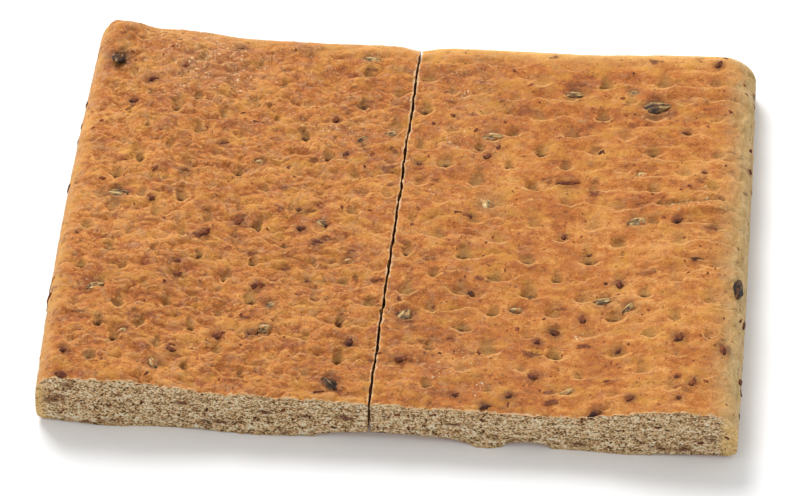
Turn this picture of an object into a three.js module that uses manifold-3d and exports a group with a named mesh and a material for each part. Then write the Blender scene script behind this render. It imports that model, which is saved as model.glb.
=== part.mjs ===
// Seeded focaccia: a flat, dimpled slab of bread, cut once from front to back into two halves
// that still lie together. Each half is one solid, with the seeds of its crust fused on.
// Millimetres. X runs along the slab, Y from the cut front to the baked back, Z up.
import * as THREE from 'three';
import { mergeVertices } from 'three/addons/utils/BufferGeometryUtils.js';
import { ImprovedNoise } from 'three/addons/math/ImprovedNoise.js';
import Module from 'manifold-3d';

// The slab
const WIDTH = 380;
const DEPTH = 290;
const MID_HEIGHT = 25;
const FRONT_RISE = 2.2;          // the front stands this much above the middle, the back as much below
const TWIST = 1.2;               // the front rises to the left and falls to the right, the back the other way
const TWIST_REACH = 70;
const CORNER_CURL = 5;           // the back left corner curls up
const CORNER_CURL_REACH = 30;

// The baked ends stand above the docked middle: where they start to rise, over how long a run,
// how high in the middle of the depth, and how much more at the front
const LEFT_RIM = { start: 92, run: 48, height: 5.2, front: 0.6 };
const RIGHT_RIM = { start: 86, run: 76, height: 6.6, front: 2.2 };

// Baked edges: the plan radius of each round edge, and its drop as a share of the height
const LEFT_ROUND = 11;
const RIGHT_ROUND = 19;
const BACK_ROUND = 14;
const SHOULDER_SHARE = 0.5;
const FOOT_ROUND = 4;
const LEFT_BOW = { depth: 5, middle: -25 };
const RIGHT_BOW = { depth: 2, middle: 60 };
const BOW_HALF_LENGTH = 160;
const BOW_REACH = 45;

// The knife cut between the halves, a little askew
const CUT_MIDDLE = -5.3;
const CUT_SKEW = 0.0217;
const CUT_GAP = 1.4;
const BACK_NICK = 3;             // the back edge is drawn in beside the cut
const BACK_NICK_REACH = 9;

// Hollows under the front edge, between the places where the slab rests
const HOLLOWS = [
  { x: 8, halfWidth: 46, depth: 45, height: 5 },
  { x: 74, halfWidth: 24, depth: 30, height: 4.6 },
];

// Dimples in staggered rows, with construction lines on and beside each row
const COLUMN_PITCH = 16.55;
const COLUMN_ZERO = 3.5;
const COLUMNS = { first: -12, last: 10 };
const COLUMN_SQUEEZE = 0.36;     // the columns crowd together towards the left end
const COLUMN_SQUEEZE_FROM = -4;
const ROW_PITCH = 14.2;
const ROWS = { first: -9, last: 8 };
const DIMPLE_RADIUS = 4.4;
const DIMPLE_SKIRT = 1.25;       // the dimple fades out at this many radii
const DIMPLE_DEPTH = 3.2;
const DIMPLE_SPREAD = 0.9;       // depths differ by this share of the mean depth
const LINE_CLEARANCE = 4.2;      // nearest that two construction lines come
const EDGE_LINES = [1, 0.66, 0.33, 0];
const LEVELS = [-0.1, 0, 0.16, 1 - SHOULDER_SHARE, 0.8, 1];

// Rolling relief of the crust between the dimples
const RIPPLE = { height: 1.3, length: 34, width: 13, layer: 0.3 };
const LUMP = { height: 1.3, size: 12, layer: 5.7, full: -90, none: 60 };
const WARP = { reach: 2.2, size: 45, fade: 16, layerX: 9.1, layerY: 14.6 };

// Seeds: how much of the thickness stands out of the crust is the last value
const SEED_KINDS = {
  pumpkin: { length: 14, width: 8.5, thickness: 4.4, proud: 0.45 },
  kernel: { length: 9.5, width: 4.8, thickness: 4, proud: 0.42 },
  grain: { length: 6.6, width: 4.6, thickness: 3.6, proud: 0.36 },
};
const SEED_SIDES = 6;
const SEED_RINGS = 4;
const SEED_MARGIN = 7;
const SCATTERED_GRAINS = 32;
const SCATTER_STEP_X = 0.7548777;   // a pair of steps that fills a rectangle evenly
const SCATTER_STEP_Y = 0.5698403;
const RANDOM_SEED = 7;

// The large seeds: x, y and turn in degrees
const LARGE_SEEDS = {
  pumpkin: [
    [133, 94, 12], [5, -78, 70], [-171, 109, 82], [-163, -73, 50], [-161, 1, 8], [112, -59, 10],
    [-31, -131, 40], [88, 104, 5], [184, -41, 95],
  ],
  kernel: [
    [44, 13, 65], [44, 67, 8], [-30, 125, 5], [-126, -128, 60], [-85, 36, 20], [-69, -94, 15],
    [-46, -11, 40], [-13, 65, 25], [128, 1, 25], [126, -65, 50], [96, -127, 10], [163, -121, 80],
  ],
};

const wasm = await Module();
wasm.setup();
const noise = new ImprovedNoise();
const { smoothstep, seededRandom, degToRad } = THREE.MathUtils;

const bell = (t) => Math.exp(-t * t);
const cutX = (y) => CUT_MIDDLE + CUT_SKEW * y;
const range = ({ first, last }) => Array.from({ length: last - first + 1 }, (_, k) => first + k);
const edgeRadius = (x) => (x < 0 ? LEFT_ROUND : RIGHT_ROUND);

// Height of the slab before dimples and round edges
function slabHeight(x, y) {
  const towardsFront = (-2 * y) / DEPTH;
  const { start, run, height, front } = x < 0 ? LEFT_RIM : RIGHT_RIM;
  const rim = (height + front * towardsFront) * smoothstep(Math.abs(x), start, start + run);
  const twist = TWIST * towardsFront * (1 - 2 * smoothstep(x, -TWIST_REACH, TWIST_REACH));
  const corner = Math.hypot(x + WIDTH / 2, y - DEPTH / 2) / CORNER_CURL_REACH;
  return MID_HEIGHT + FRONT_RISE * towardsFront + twist + rim + CORNER_CURL * bell(corner);
}

// How far a point lies out in the round edge, from 0 where the edge begins to 1 at the outline
function outInEdge(x, y) {
  const radius = edgeRadius(x);
  return {
    outX: Math.max(0, Math.abs(x) - WIDTH / 2 + radius) / radius,
    outY: Math.max(0, y - DEPTH / 2 + BACK_ROUND) / BACK_ROUND,
  };
}

function columnX(i) {
  const crowd = Math.max(0, COLUMN_SQUEEZE_FROM - i);
  return COLUMN_ZERO + COLUMN_PITCH * i + COLUMN_SQUEEZE * crowd * crowd;
}

const columnSites = range(COLUMNS).map(columnX);
const rowSites = range(ROWS).map((j) => ROW_PITCH * j);

// One dimple at every second crossing of columns and rows, each of its own depth
function plantDimples() {
  seededRandom(RANDOM_SEED);
  const crossings = columnSites.flatMap((x, i) => rowSites.map((y, j) => ({ x, y, odd: (i + j) % 2 })));
  const shown = (COLUMNS.first + ROWS.first) % 2 ? 1 : 0;
  return crossings
    .filter(({ odd }) => odd === shown)
    .map(({ x, y }) => ({ x, y, depth: DIMPLE_DEPTH * (1 + DIMPLE_SPREAD * (seededRandom() - 0.5)) }));
}

const dimples = plantDimples();

function dimpleDepth(x, y) {
  let deepest = 0;
  for (const dimple of dimples) {
    const out = Math.hypot(x - dimple.x, y - dimple.y) / (DIMPLE_RADIUS * DIMPLE_SKIRT);
    if (out < 1) deepest = Math.max(deepest, dimple.depth * (1 - out * out));
  }
  return deepest;
}

// Long low ripples all over, with lumps on the left half
function relief(x, y) {
  const ripple = RIPPLE.height * noise.noise(x / RIPPLE.length, y / RIPPLE.width, RIPPLE.layer);
  const lump = LUMP.height * noise.noise(x / LUMP.size, y / LUMP.size, LUMP.layer);
  return ripple + lump * (1 - smoothstep(x, LUMP.full, LUMP.none)) - dimpleDepth(x, y);
}

// Construction lines along one direction: those of the two ends, and between them the dimples' own
function constructionLines(start, sites, end) {
  const kept = [...start];
  for (const site of sites) {
    for (const at of [site - DIMPLE_RADIUS, site, site + DIMPLE_RADIUS]) {
      if (at > kept.at(-1) + LINE_CLEARANCE && at < end[0] - LINE_CLEARANCE) kept.push(at);
    }
  }
  return [...kept, ...end];
}

// The place on the bread of a point of a plain block; level runs from 0 at the foot to 1 on top
function shapePoint(x, y, level) {
  const { outX, outY } = outInEdge(x, y);
  const outZ = Math.max(0, level - 1 + SHOULDER_SHARE) / SHOULDER_SHARE;
  const reach = Math.hypot(outX, outY, outZ);
  const pull = reach > 0 ? Math.max(outX, outY, outZ) / reach : 0;
  const share = Math.min(level, 1 - SHOULDER_SHARE) + SHOULDER_SHARE * outZ * pull;

  const foot = THREE.MathUtils.clamp(1 - (share * MID_HEIGHT) / FOOT_ROUND, 0, 1);
  const inset = FOOT_ROUND * (1 - Math.sqrt(1 - foot * foot));
  const radius = edgeRadius(x);
  const side = Math.sign(x);
  const planX = side * (Math.min(Math.abs(x), WIDTH / 2 - radius) + outX * pull * (radius - inset));
  const planY = Math.min(y, DEPTH / 2 - BACK_ROUND) + outY * pull * (BACK_ROUND - inset);
  const height = share * slabHeight(planX, planY) + outZ * pull * relief(planX, planY);

  const nearEnd = smoothstep(Math.abs(planX), WIDTH / 2 - BOW_REACH, WIDTH / 2);
  const nearBack = smoothstep(planY, DEPTH / 2 - BOW_REACH, DEPTH / 2);
  const toCut = Math.abs(planX - cutX(planY));
  const bow = x < 0 ? LEFT_BOW : RIGHT_BOW;
  const drawnIn = nearEnd * bow.depth * ((planY - bow.middle) / BOW_HALF_LENGTH) ** 2;
  const nick = nearBack * BACK_NICK * bell(toCut / BACK_NICK_REACH);
  const warp = WARP.reach * Math.min(1, toCut / WARP.fade) * (1 - nearEnd) * (1 - nearBack);
  return [
    planX - side * drawnIn + warp * noise.noise(planX / WARP.size, planY / WARP.size, WARP.layerX),
    planY - nick + warp * noise.noise(planX / WARP.size, planY / WARP.size, WARP.layerY),
    height,
  ];
}

function solidOf(geometry) {
  geometry.deleteAttribute('normal');
  geometry.deleteAttribute('uv');
  const merged = mergeVertices(geometry);
  return new wasm.Manifold(new wasm.Mesh({
    numProp: 3,
    vertProperties: new Float32Array(merged.attributes.position.array),
    triVerts: new Uint32Array(merged.index.array),
  }));
}

// The slab as baked: a block with a line of points through every dimple, each point then moved to
// its place. It reaches past the front and below the floor, where it is cut away.
function bakedSlab() {
  const leftEdge = EDGE_LINES.map((share) => -WIDTH / 2 + LEFT_ROUND * (1 - share));
  const rightEdge = EDGE_LINES.map((share) => WIDTH / 2 - RIGHT_ROUND * share);
  const backEdge = EDGE_LINES.map((share) => DEPTH / 2 - BACK_ROUND * share);
  const columns = constructionLines(leftEdge, columnSites, rightEdge);
  const rows = constructionLines([-DEPTH / 2 - DIMPLE_RADIUS], rowSites, backEdge);
  const [nx, ny, nz] = [columns, rows, LEVELS].map((line) => line.length - 1);
  const block = new THREE.BoxGeometry(nx, ny, nz, nx, ny, nz).translate(nx / 2, ny / 2, nz / 2);
  const points = block.attributes.position;
  for (let n = 0; n < points.count; n++) {
    const [i, j, k] = [points.getX(n), points.getY(n), points.getZ(n)].map(Math.round);
    points.setXYZ(n, ...shapePoint(columns[i], rows[j], LEVELS[k]));
  }
  return solidOf(block);
}

// A straight block over the whole slab, used as the knife: its front and foot stay where it stands
function trimBlock() {
  const block = new THREE.BoxGeometry(2 * WIDTH, 2 * DEPTH, WIDTH);
  return solidOf(block.translate(0, DEPTH / 2, WIDTH / 2));
}

// All that lies on one side of the cut, half the gap away from it
function sideBlock(side) {
  const block = new THREE.BoxGeometry(WIDTH, 2 * DEPTH, WIDTH);
  block.translate(side * (WIDTH / 2 + CUT_GAP / 2), 0, 0);
  return solidOf(block.rotateZ(-Math.atan(CUT_SKEW)).translate(CUT_MIDDLE, 0, 0));
}

function hollowSolid({ x, halfWidth, depth, height }) {
  const lens = new THREE.SphereGeometry(1, 14, 8).rotateX(Math.PI / 2);
  return solidOf(lens.scale(halfWidth, depth, height).translate(x, -DEPTH / 2, 0));
}

// Height of the crust without its relief, round edges included
function smoothTop(x, y) {
  const { outX, outY } = outInEdge(x, y);
  const arc = Math.sqrt(Math.max(0, 1 - outX * outX - outY * outY));
  return slabHeight(x, y) * (1 - SHOULDER_SHARE * (1 - arc));
}

function seedSolid({ kind, x, y, turn }) {
  const { length, width, thickness, proud } = SEED_KINDS[kind];
  const top = smoothTop(x, y);
  const normal = new THREE.Vector3(top - smoothTop(x + 1, y), top - smoothTop(x, y + 1), 1).normalize();
  const upright = new THREE.Quaternion().setFromUnitVectors(new THREE.Vector3(0, 0, 1), normal);
  const centre = new THREE.Vector3(x, y, top + relief(x, y)).addScaledVector(normal, thickness * (proud - 0.5));
  const seed = new THREE.SphereGeometry(0.5, SEED_SIDES, SEED_RINGS).rotateX(Math.PI / 2);
  seed.scale(length, width, thickness).rotateZ(degToRad(turn)).applyQuaternion(upright);
  return solidOf(seed.translate(centre.x, centre.y, centre.z));
}

// Small grains spread evenly, none beside an edge, in a dimple or against another seed
function scatterGrains(taken) {
  const grains = [];
  for (let n = 1; grains.length < SCATTERED_GRAINS; n++) {
    const x = (((n * SCATTER_STEP_X) % 1) - 0.5) * (WIDTH - 2 * RIGHT_ROUND);
    const y = (((n * SCATTER_STEP_Y) % 1) - 0.5) * (DEPTH - 2 * BACK_ROUND);
    const nearest = Math.min(...[...taken, ...grains].map((seed) => Math.hypot(seed.x - x, seed.y - y)));
    const clearOfSeeds = nearest > 2 * SEED_MARGIN;
    const clearOfCut = Math.abs(x - cutX(y)) > SEED_MARGIN;
    const turn = 360 * seededRandom();
    if (clearOfSeeds && clearOfCut && dimpleDepth(x, y) === 0) grains.push({ kind: 'grain', x, y, turn });
  }
  return grains;
}

function plantSeeds() {
  const large = Object.entries(LARGE_SEEDS).flatMap(
    ([kind, places]) => places.map(([x, y, turn]) => ({ kind, x, y, turn })),
  );
  return [...large, ...scatterGrains(large)];
}

function meshOf(name, solid, color) {
  const { vertProperties, triVerts } = solid.getMesh();
  const geometry = new THREE.BufferGeometry();
  geometry.setAttribute('position', new THREE.BufferAttribute(vertProperties, 3));
  geometry.setIndex(new THREE.BufferAttribute(triVerts, 1));
  const mesh = new THREE.Mesh(geometry, new THREE.MeshStandardMaterial({ color, roughness: 0.75, metalness: 0 }));
  mesh.name = name;
  return mesh;
}

const slab = HOLLOWS.reduce((bread, hollow) => bread.subtract(hollowSolid(hollow)), bakedSlab().intersect(trimBlock()));
const seeds = plantSeeds();

function half(name, side, color) {
  const own = seeds.filter(({ x, y }) => side * (x - cutX(y)) > 0);
  const bread = slab.intersect(sideBlock(side));
  return meshOf(name, own.reduce((food, seed) => food.add(seedSolid(seed)), bread), color);
}

const focaccia = new THREE.Group();
focaccia.add(half('left_half', -1, 0xbe7f4a), half('right_half', 1, 0xc58248));

export default focaccia;
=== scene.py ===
# %% [markdown]
# # Seeded focaccia in two halves
# A flat slab of bread, docked with staggered dimples, baked golden, trimmed at the front and cut once
# from front to back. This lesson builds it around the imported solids: first the camera and the light,
# then each half of the bread as one fine mesh, then the finishes, and last the seeds.
# Lengths are written in millimetres, because a baker thinks in them, and meshes are scaled to metres.

# %% Load the frame
import math
import random
from collections import namedtuple

import bmesh
import bpy
from mathutils import Matrix, Vector, noise
from mathutils.bvhtree import BVHTree
from mathutils.kdtree import KDTree


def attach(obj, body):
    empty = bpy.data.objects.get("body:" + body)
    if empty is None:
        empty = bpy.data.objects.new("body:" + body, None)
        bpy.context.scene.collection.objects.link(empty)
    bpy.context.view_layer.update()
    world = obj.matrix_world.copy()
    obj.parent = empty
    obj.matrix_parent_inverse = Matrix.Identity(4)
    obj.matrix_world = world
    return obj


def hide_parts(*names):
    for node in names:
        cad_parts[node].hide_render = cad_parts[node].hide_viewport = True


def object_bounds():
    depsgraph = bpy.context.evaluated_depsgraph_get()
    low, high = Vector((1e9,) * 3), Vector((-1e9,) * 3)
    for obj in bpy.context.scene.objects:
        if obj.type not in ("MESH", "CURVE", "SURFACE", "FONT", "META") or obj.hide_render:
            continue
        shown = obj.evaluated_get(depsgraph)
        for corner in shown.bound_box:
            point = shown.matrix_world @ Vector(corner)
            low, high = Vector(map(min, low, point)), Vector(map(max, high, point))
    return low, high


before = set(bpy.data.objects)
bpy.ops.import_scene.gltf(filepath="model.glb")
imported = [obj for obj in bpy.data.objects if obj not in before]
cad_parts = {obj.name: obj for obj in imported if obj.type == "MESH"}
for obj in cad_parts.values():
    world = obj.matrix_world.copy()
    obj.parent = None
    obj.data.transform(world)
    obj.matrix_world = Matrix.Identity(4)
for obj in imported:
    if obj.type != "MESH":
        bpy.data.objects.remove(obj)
cad_low, cad_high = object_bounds()

MM = 0.001
WIDTH = (cad_high.x - cad_low.x) / MM
DEPTH = (cad_high.y - cad_low.y) / MM
END = WIDTH / 2
BACK = DEPTH / 2
FRONT = -DEPTH / 2
print("slab", round(WIDTH, 1), "by", round(DEPTH, 1), "mm, nodes", sorted(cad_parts))

# %% [markdown]
# ## Camera
# A long lens far away keeps the slab's sides nearly parallel, as a catalogue picture does. The camera
# looks down by about 45 degrees from the front, a few degrees to the right of the middle. It could be
# placed by hand, but turning it by two angles and backing away along its own axis keeps every number
# readable.

# %% Camera
SENSOR_WIDTH = 36
LENS = 225
FAR_CLIP = 50
VIEW_TURN = math.radians(4.546)
VIEW_DOWN = math.radians(45.55)
VIEW_DISTANCE = 2769.5
AIM_HEIGHT = 13.0
AIM_RIGHT = -3.39
AIM_UP = -10.05


def show(name, data):
    """Puts a camera, a lamp or a mesh into the scene as an object of that name."""
    thing = bpy.data.objects.new(name, data)
    bpy.context.scene.collection.objects.link(thing)
    return thing


camera_data = bpy.data.cameras.new("camera")
camera_data.sensor_width = SENSOR_WIDTH
camera_data.lens = LENS
camera_data.clip_end = FAR_CLIP
camera = show("camera", camera_data)
bpy.context.scene.camera = camera

view_turn = Matrix.Rotation(VIEW_TURN, 4, "Z") @ Matrix.Rotation(math.pi / 2 - VIEW_DOWN, 4, "X")
right, up, towards_camera = view_turn.to_3x3().col
aim = Vector((0, 0, AIM_HEIGHT)) + right * AIM_RIGHT + up * AIM_UP
camera.matrix_world = Matrix.Translation((aim + towards_camera * VIEW_DISTANCE) * MM) @ view_turn
print("camera at", [round(v, 3) for v in camera.matrix_world.translation])

# %% [markdown]
# ## Floor and light
# The slab lies on a plain white surface under one large soft panel behind its left corner, so its left
# and back edges are bright and its cut front is in soft shade. A white world fills that shade, and a weak
# low panel in front lifts the crumb a little.

# %% Floor and light
FLOOR_SIZE = 12.0
FLOOR_DROP = 0.0002
FLOOR_WHITE = (0.9, 0.9, 0.9, 1)
FLOOR_ROUGHNESS = 0.9
FILL_WHITE = (1, 1, 1, 1)
FILL_STRENGTH = 0.72
Panel = namedtuple("Panel", "name place size power")
PANELS = [
    Panel("key_panel", Vector((-0.95, 1.75, 2.05)), 1.5, 89.5),
    Panel("front_panel", Vector((0.25, -1.9, 0.45)), 1.2, 5.0),
]


def mesh_of(bm, name):
    """Hands a finished bmesh over to a mesh of that name."""
    mesh = bpy.data.meshes.new(name)
    bm.to_mesh(mesh)
    bm.free()
    return mesh


def new_material(name):
    """An empty material, its node tree and its shader."""
    material = bpy.data.materials.new(name)
    material.use_nodes = True
    tree = material.node_tree
    return material, tree, tree.nodes["Principled BSDF"]


floor_bm = bmesh.new()
bmesh.ops.create_grid(floor_bm, x_segments=1, y_segments=1, size=FLOOR_SIZE / 2)
bmesh.ops.translate(floor_bm, verts=floor_bm.verts, vec=(0, 0, -FLOOR_DROP))
floor = show("floor", mesh_of(floor_bm, "floor"))
floor_paint, _, floor_shader = new_material("floor_paint")
floor_shader.inputs["Base Color"].default_value = FLOOR_WHITE
floor_shader.inputs["Roughness"].default_value = FLOOR_ROUGHNESS
floor.data.materials.append(floor_paint)

world = bpy.data.worlds.new("white_room")
world.use_nodes = True
world.node_tree.nodes["Background"].inputs["Color"].default_value = FILL_WHITE
world.node_tree.nodes["Background"].inputs["Strength"].default_value = FILL_STRENGTH
bpy.context.scene.world = world

for panel in PANELS:
    light_data = bpy.data.lights.new(panel.name, "AREA")
    light_data.energy = panel.power
    light_data.size = panel.size
    light = show(panel.name, light_data)
    light.location = panel.place
    light.rotation_euler = panel.place.to_track_quat("Z", "Y").to_euler()
bpy.context.scene.view_settings.view_transform = "Standard"
print("floor", FLOOR_SIZE, "m, panels", [(panel.name, panel.power) for panel in PANELS])

# %% [markdown]
# ## The form of the slab
# The dough was baked in a tray, so the slab is thin in its docked middle and stands up towards its left
# and right ends, and its back left corner curled up. The heights are nearly those of the solids, with one
# small knob more on that corner. They are a function of the place on the slab, because a smooth function
# gives any fineness of mesh.

# %% Height of the slab
MID_HEIGHT = 25.0
FRONT_RISE = 2.2
TWIST = 1.2
TWIST_REACH = 70.0
Curl = namedtuple("Curl", "x y wide deep height")
CORNER_CURLS = [Curl(-END, BACK, 30.0, 30.0, 4.6), Curl(-172.0, BACK, 12.0, 24.0, 3.2)]
Rim = namedtuple("Rim", "start run height front")
LEFT_RIM = Rim(92.0, 48.0, 5.2, 0.6)
RIGHT_RIM = Rim(86.0, 76.0, 6.6, 2.2)


def clamp(value):
    return min(max(value, 0.0), 1.0)


def smoothstep(low, high, value):
    """Rises softly from 0 at low to 1 at high."""
    t = clamp((value - low) / (high - low))
    return t * t * (3 - 2 * t)


def bell(t):
    """A soft bump, 1 in its middle."""
    return math.exp(-t * t)


def slab_height(x, y):
    """Height of the slab before its dimples and round edges."""
    towards_front = -2 * y / DEPTH
    rim = LEFT_RIM if x < 0 else RIGHT_RIM
    raised = (rim.height + rim.front * towards_front) * smoothstep(rim.start, rim.start + rim.run, abs(x))
    twist = TWIST * towards_front * (1 - 2 * smoothstep(-TWIST_REACH, TWIST_REACH, x))
    corner = sum(c.height * bell((x - c.x) / c.wide) * bell((y - c.y) / c.deep) for c in CORNER_CURLS)
    return MID_HEIGHT + FRONT_RISE * towards_front + twist + raised + corner


print("middle", round(slab_height(0, 0), 1), "left end", round(slab_height(-END, 0), 1),
      "right end", round(slab_height(END, 0), 1))

# %% [markdown]
# ## Docking dimples
# Before baking, the dough is pricked with a roller whose pegs stand in staggered rows. The pegs leave
# cups that are steep towards the front, where the roller pushed, and run out softly to the back.
# A regular lattice would look like a machine part, so each cup gets its own small shift, size and
# depth from a seeded draw.

# %% The plan of the dimples
COLUMN_ZERO = 3.5
COLUMN_PITCH = 16.55
COLUMN_SQUEEZE = 0.36
SQUEEZE_FROM = -4
COLUMNS = range(-12, 11)
ROW_PITCH = 14.2
ROWS = range(-9, 9)
DIMPLE_SHIFT = 2.2
DIMPLE_RADIUS = (3.2, 5.4)
DIMPLE_DEPTH = (0.4, 2.6)
DEPTH_BIAS = 1.3
DIMPLE_BACK = (1.5, 2.9)
SHALLOWER_AT = (120.0, 175.0)
SHALLOWER_BY = 0.55
Dimple = namedtuple("Dimple", "x y radius depth back")
draw = random.Random(7)


def column_place(column):
    """Where a column stands; columns crowd together towards the left end."""
    crowd = max(0, SQUEEZE_FROM - column)
    return COLUMN_ZERO + COLUMN_PITCH * column + COLUMN_SQUEEZE * crowd * crowd


def drawn_dimple(column, row):
    """One dimple of the lattice with its own shift, size and depth, shallower near the right end."""
    shift_x = draw.uniform(-DIMPLE_SHIFT, DIMPLE_SHIFT)
    shift_y = draw.uniform(-DIMPLE_SHIFT, DIMPLE_SHIFT)
    radius = draw.uniform(*DIMPLE_RADIUS)
    depth = DIMPLE_DEPTH[0] + (DIMPLE_DEPTH[1] - DIMPLE_DEPTH[0]) * draw.random() ** DEPTH_BIAS
    back = draw.uniform(*DIMPLE_BACK)
    x = column_place(column) + shift_x
    depth *= 1 - SHALLOWER_BY * smoothstep(*SHALLOWER_AT, x)
    return Dimple(x, ROW_PITCH * row + shift_y, radius, depth, back)


dimples = [drawn_dimple(column, row) for column in COLUMNS for row in ROWS if (column + row) % 2 == 0]
print(len(dimples), "dimples")

# %% [markdown]
# ## Seeds, planned before the crust
# The seeds were kneaded into the dough, so the crust closes round them: it dips a little beside each
# large seed and is darkened round the dark ones, partly a stain and partly painted shade where seed and
# crust meet. That is why their places are settled first. The large ones lie where the real slab has
# them, and the small ones are a seeded scatter.

# %% Places of the seeds
Seed = namedtuple("Seed", "x y length width turn tone")

# Pumpkin seeds: x, y, length, width, turn in degrees, and tone from black (0) to straw (1)
PUMPKIN_SEEDS = [Seed(*row) for row in (
    (135, 94, 17, 12, 12, 0.3), (5, -78, 12, 10, 70, 0.45), (-172, 109, 16, 8, 82, 0.12),
    (-163, -73, 13, 10, 50, 0.6), (-161, 1, 15, 9, 165, 0.45), (112, -59, 13, 7, 10, 0.5),
    (-31, -133, 11, 8, 130, 0.12), (88, 104, 12, 6.5, 5, 0.5), (-68, -75, 8, 7, 30, 0.5),
    (-30, 126, 11, 6, 5, 0.55),
)]

# Sunflower kernels, mostly grey
KERNELS = [Seed(*row) for row in (
    (44, 13, 14, 8, 118, 0.62), (44, 67, 13, 6, 8, 0.65), (-126, -128, 11, 4.5, 120, 0.5),
    (-85, 36, 8, 3.6, 20, 0.55), (-69, -94, 9, 5, 15, 0.55), (-46, -11, 8.5, 5.5, 140, 0.4),
    (-13, 65, 9, 4, 25, 0.6), (128, 1, 13, 8, 25, 0.6), (126, -65, 11, 4.5, 55, 0.45),
    (96, -127, 12, 3.8, 35, 0.7), (65, -68, 9, 4.2, 15, 0.5), (-125, 20, 7.5, 5, 20, 0.35),
    (121, 107, 7, 4.5, 30, 0.6), (-29, -38, 8, 4, 25, 0.6), (128, 40, 6.5, 3.2, 4, 0.9),
    (-145, -106, 8, 5, 60, 0.55), (-29, 60, 7, 5, 40, 0.35),
)]

# Dark grains: linseed, malted grain and bran bits from black through red-brown to brown
# The grain at (-106, 49) marks a dark dimple: a dark grain standing in for painted shade there.
GRAINS = [Seed(*row) for row in (
    (-152, 95, 8, 5, 10, 0.3), (-160, 76, 7.5, 4.5, 5, 0.25), (-105, 128, 7, 4, 10, 0.1),
    (-76, -98, 7, 4, 20, 0.2), (-94, -101, 8, 6, 30, 0.55), (-117, -118, 8, 6, 20, 0.45),
    (-92, -12, 9, 6, 40, 0.6), (-173, -143, 7, 5, 0, 0.3), (-37, 47, 7, 4, 80, 0.3),
    (-47, 43, 6, 4, 30, 0.3), (-56, -15, 8, 5, 15, 0.3), (-47, -27, 7.5, 5, 5, 0.25),
    (-50, -56, 6, 5, 60, 0.4), (-23, -101, 6.5, 5, 70, 0.2), (-36, -139, 6, 3, 10, 0.5),
    (42, 50, 6.5, 5, 40, 0.45), (4, 41, 5, 4, 60, 0.2), (40, -57, 6, 5, 80, 0.15),
    (168, 130, 6, 4.5, 60, 0.35), (88, 32, 14, 4, 8, 0.55), (150, 2, 7, 4.5, 15, 0.3),
    (161, -28, 7.5, 4.5, 6, 0.15), (101, -73, 8, 5, 85, 0.5), (87, -84, 7, 7, 0, 0.2),
    (78, -91, 5.5, 5, 50, 0.4), (78, -117, 8, 5.5, 15, 0.45), (65, -133, 7.5, 5, 40, 0.25),
    (120, -47, 7, 4.5, 120, 0.5), (130, -134, 6, 5, 20, 0.25), (154, -119, 4.5, 3.6, 20, 0.4),
    (53, -142, 7, 4, 15, 0.05), (112, -143, 10, 3.4, 20, 0.03), (178, -95, 10, 5, 95, 0.45),
    (88, -10, 5, 4, 40, 0.5), (34, 2, 6.5, 4.5, 150, 0.5), (-59, -1, 6, 4, 20, 0.4),
    (-120, -60, 6, 5, 30, 0.5), (-109, -27, 7, 5, 45, 0.5), (31, -93, 4.5, 3.6, 10, 0.5),
    (-141, 20, 5.5, 4, 60, 0.5), (163, 40, 4.5, 3.4, 10, 0.45), (37, -134, 5, 4.4, 30, 0.4),
    (163, -122, 8, 5, 80, 0.4), (154, -89, 8, 6, 70, 0.3), (168, -4, 8, 5, 15, 0.45),
    (152, 72, 7, 4, 10, 0.55), (6, -110, 8, 5, 20, 0.55), (122, -97, 5.5, 4, 80, 0.35),
    (156, -134, 7, 4, 5, 0.55), (-106, 49, 6, 4.5, 20, 0.35), (-121, -50, 6.5, 5, 30, 0.5),
    (-62, -47, 6.5, 4.5, 15, 0.45), (-76, -62, 8, 5.5, 10, 0.55), (-141, -4, 6, 4, 30, 0.4),
    (-174, -124, 7, 4, 10, 0.4), (-46, 75, 7, 5, 60, 0.6), (-134, 108, 6, 4.5, 70, 0.5),
    (-92, -26, 8, 5, 10, 0.55),
)]
print(len(PUMPKIN_SEEDS), "pumpkin seeds,", len(KERNELS), "kernels,", len(GRAINS), "larger grains")

# %% [markdown]
# ## Finding what is near
# A point of the crust has to know its nearest dimples, peg holes and dark seeds. Trying all of them for
# each point would take minutes, so they go into search trees, which give the nearest at once. Each large
# seed gets a shallow cup of its own, the deepest dimples a narrow hole where the peg went in, and a row of
# small cups makes the crease near the right end.

# %% Search trees
POCKET_SHARE = 0.4
POCKET_DEPTH = 1.3
POCKET_BACK = 1.2
CREASE_START = Dimple(140.0, 15.5, 2.8, 1.4, 1.2)
CREASE_STEP = (3.0, 0.45)
CREASE_CUPS = 12
HOLED_FROM = 1.85
HOLE_SETBACK = 0.3
HOLE_MARK = (2.8, 2.2)
STAIN_AND_SHADE_BELOW = 0.7


def search_tree(things):
    """A search tree of things by their places on the slab."""
    tree = KDTree(len(things))
    for number, thing in enumerate(things):
        tree.insert((thing.x, thing.y, 0), number)
    tree.balance()
    return tree


cups = list(dimples)
for step in range(CREASE_CUPS):
    along_x, along_y = [step * stride for stride in CREASE_STEP]
    cups.append(CREASE_START._replace(x=CREASE_START.x + along_x, y=CREASE_START.y + along_y))
for seed in PUMPKIN_SEEDS + KERNELS:
    cups.append(Dimple(seed.x, seed.y, seed.length * POCKET_SHARE, POCKET_DEPTH, POCKET_BACK))
holed = [dimple for dimple in dimples if dimple.depth > HOLED_FROM]
# Each deep peg hole is also darkened round, as painted shade inside it.
holes = [Seed(d.x, d.y - HOLE_SETBACK * d.radius, *HOLE_MARK, 0, 0.0) for d in holed]
stains_and_shades = [seed for seed in PUMPKIN_SEEDS + KERNELS + GRAINS if seed.tone < STAIN_AND_SHADE_BELOW] + holes
cup_tree, hole_tree, stain_and_shade_tree = [search_tree(things) for things in (cups, holes, stains_and_shades)]
print(len(cups), "cups in the crust,", len(holes), "peg holes,", len(stains_and_shades), "stains_and_shades")

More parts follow.
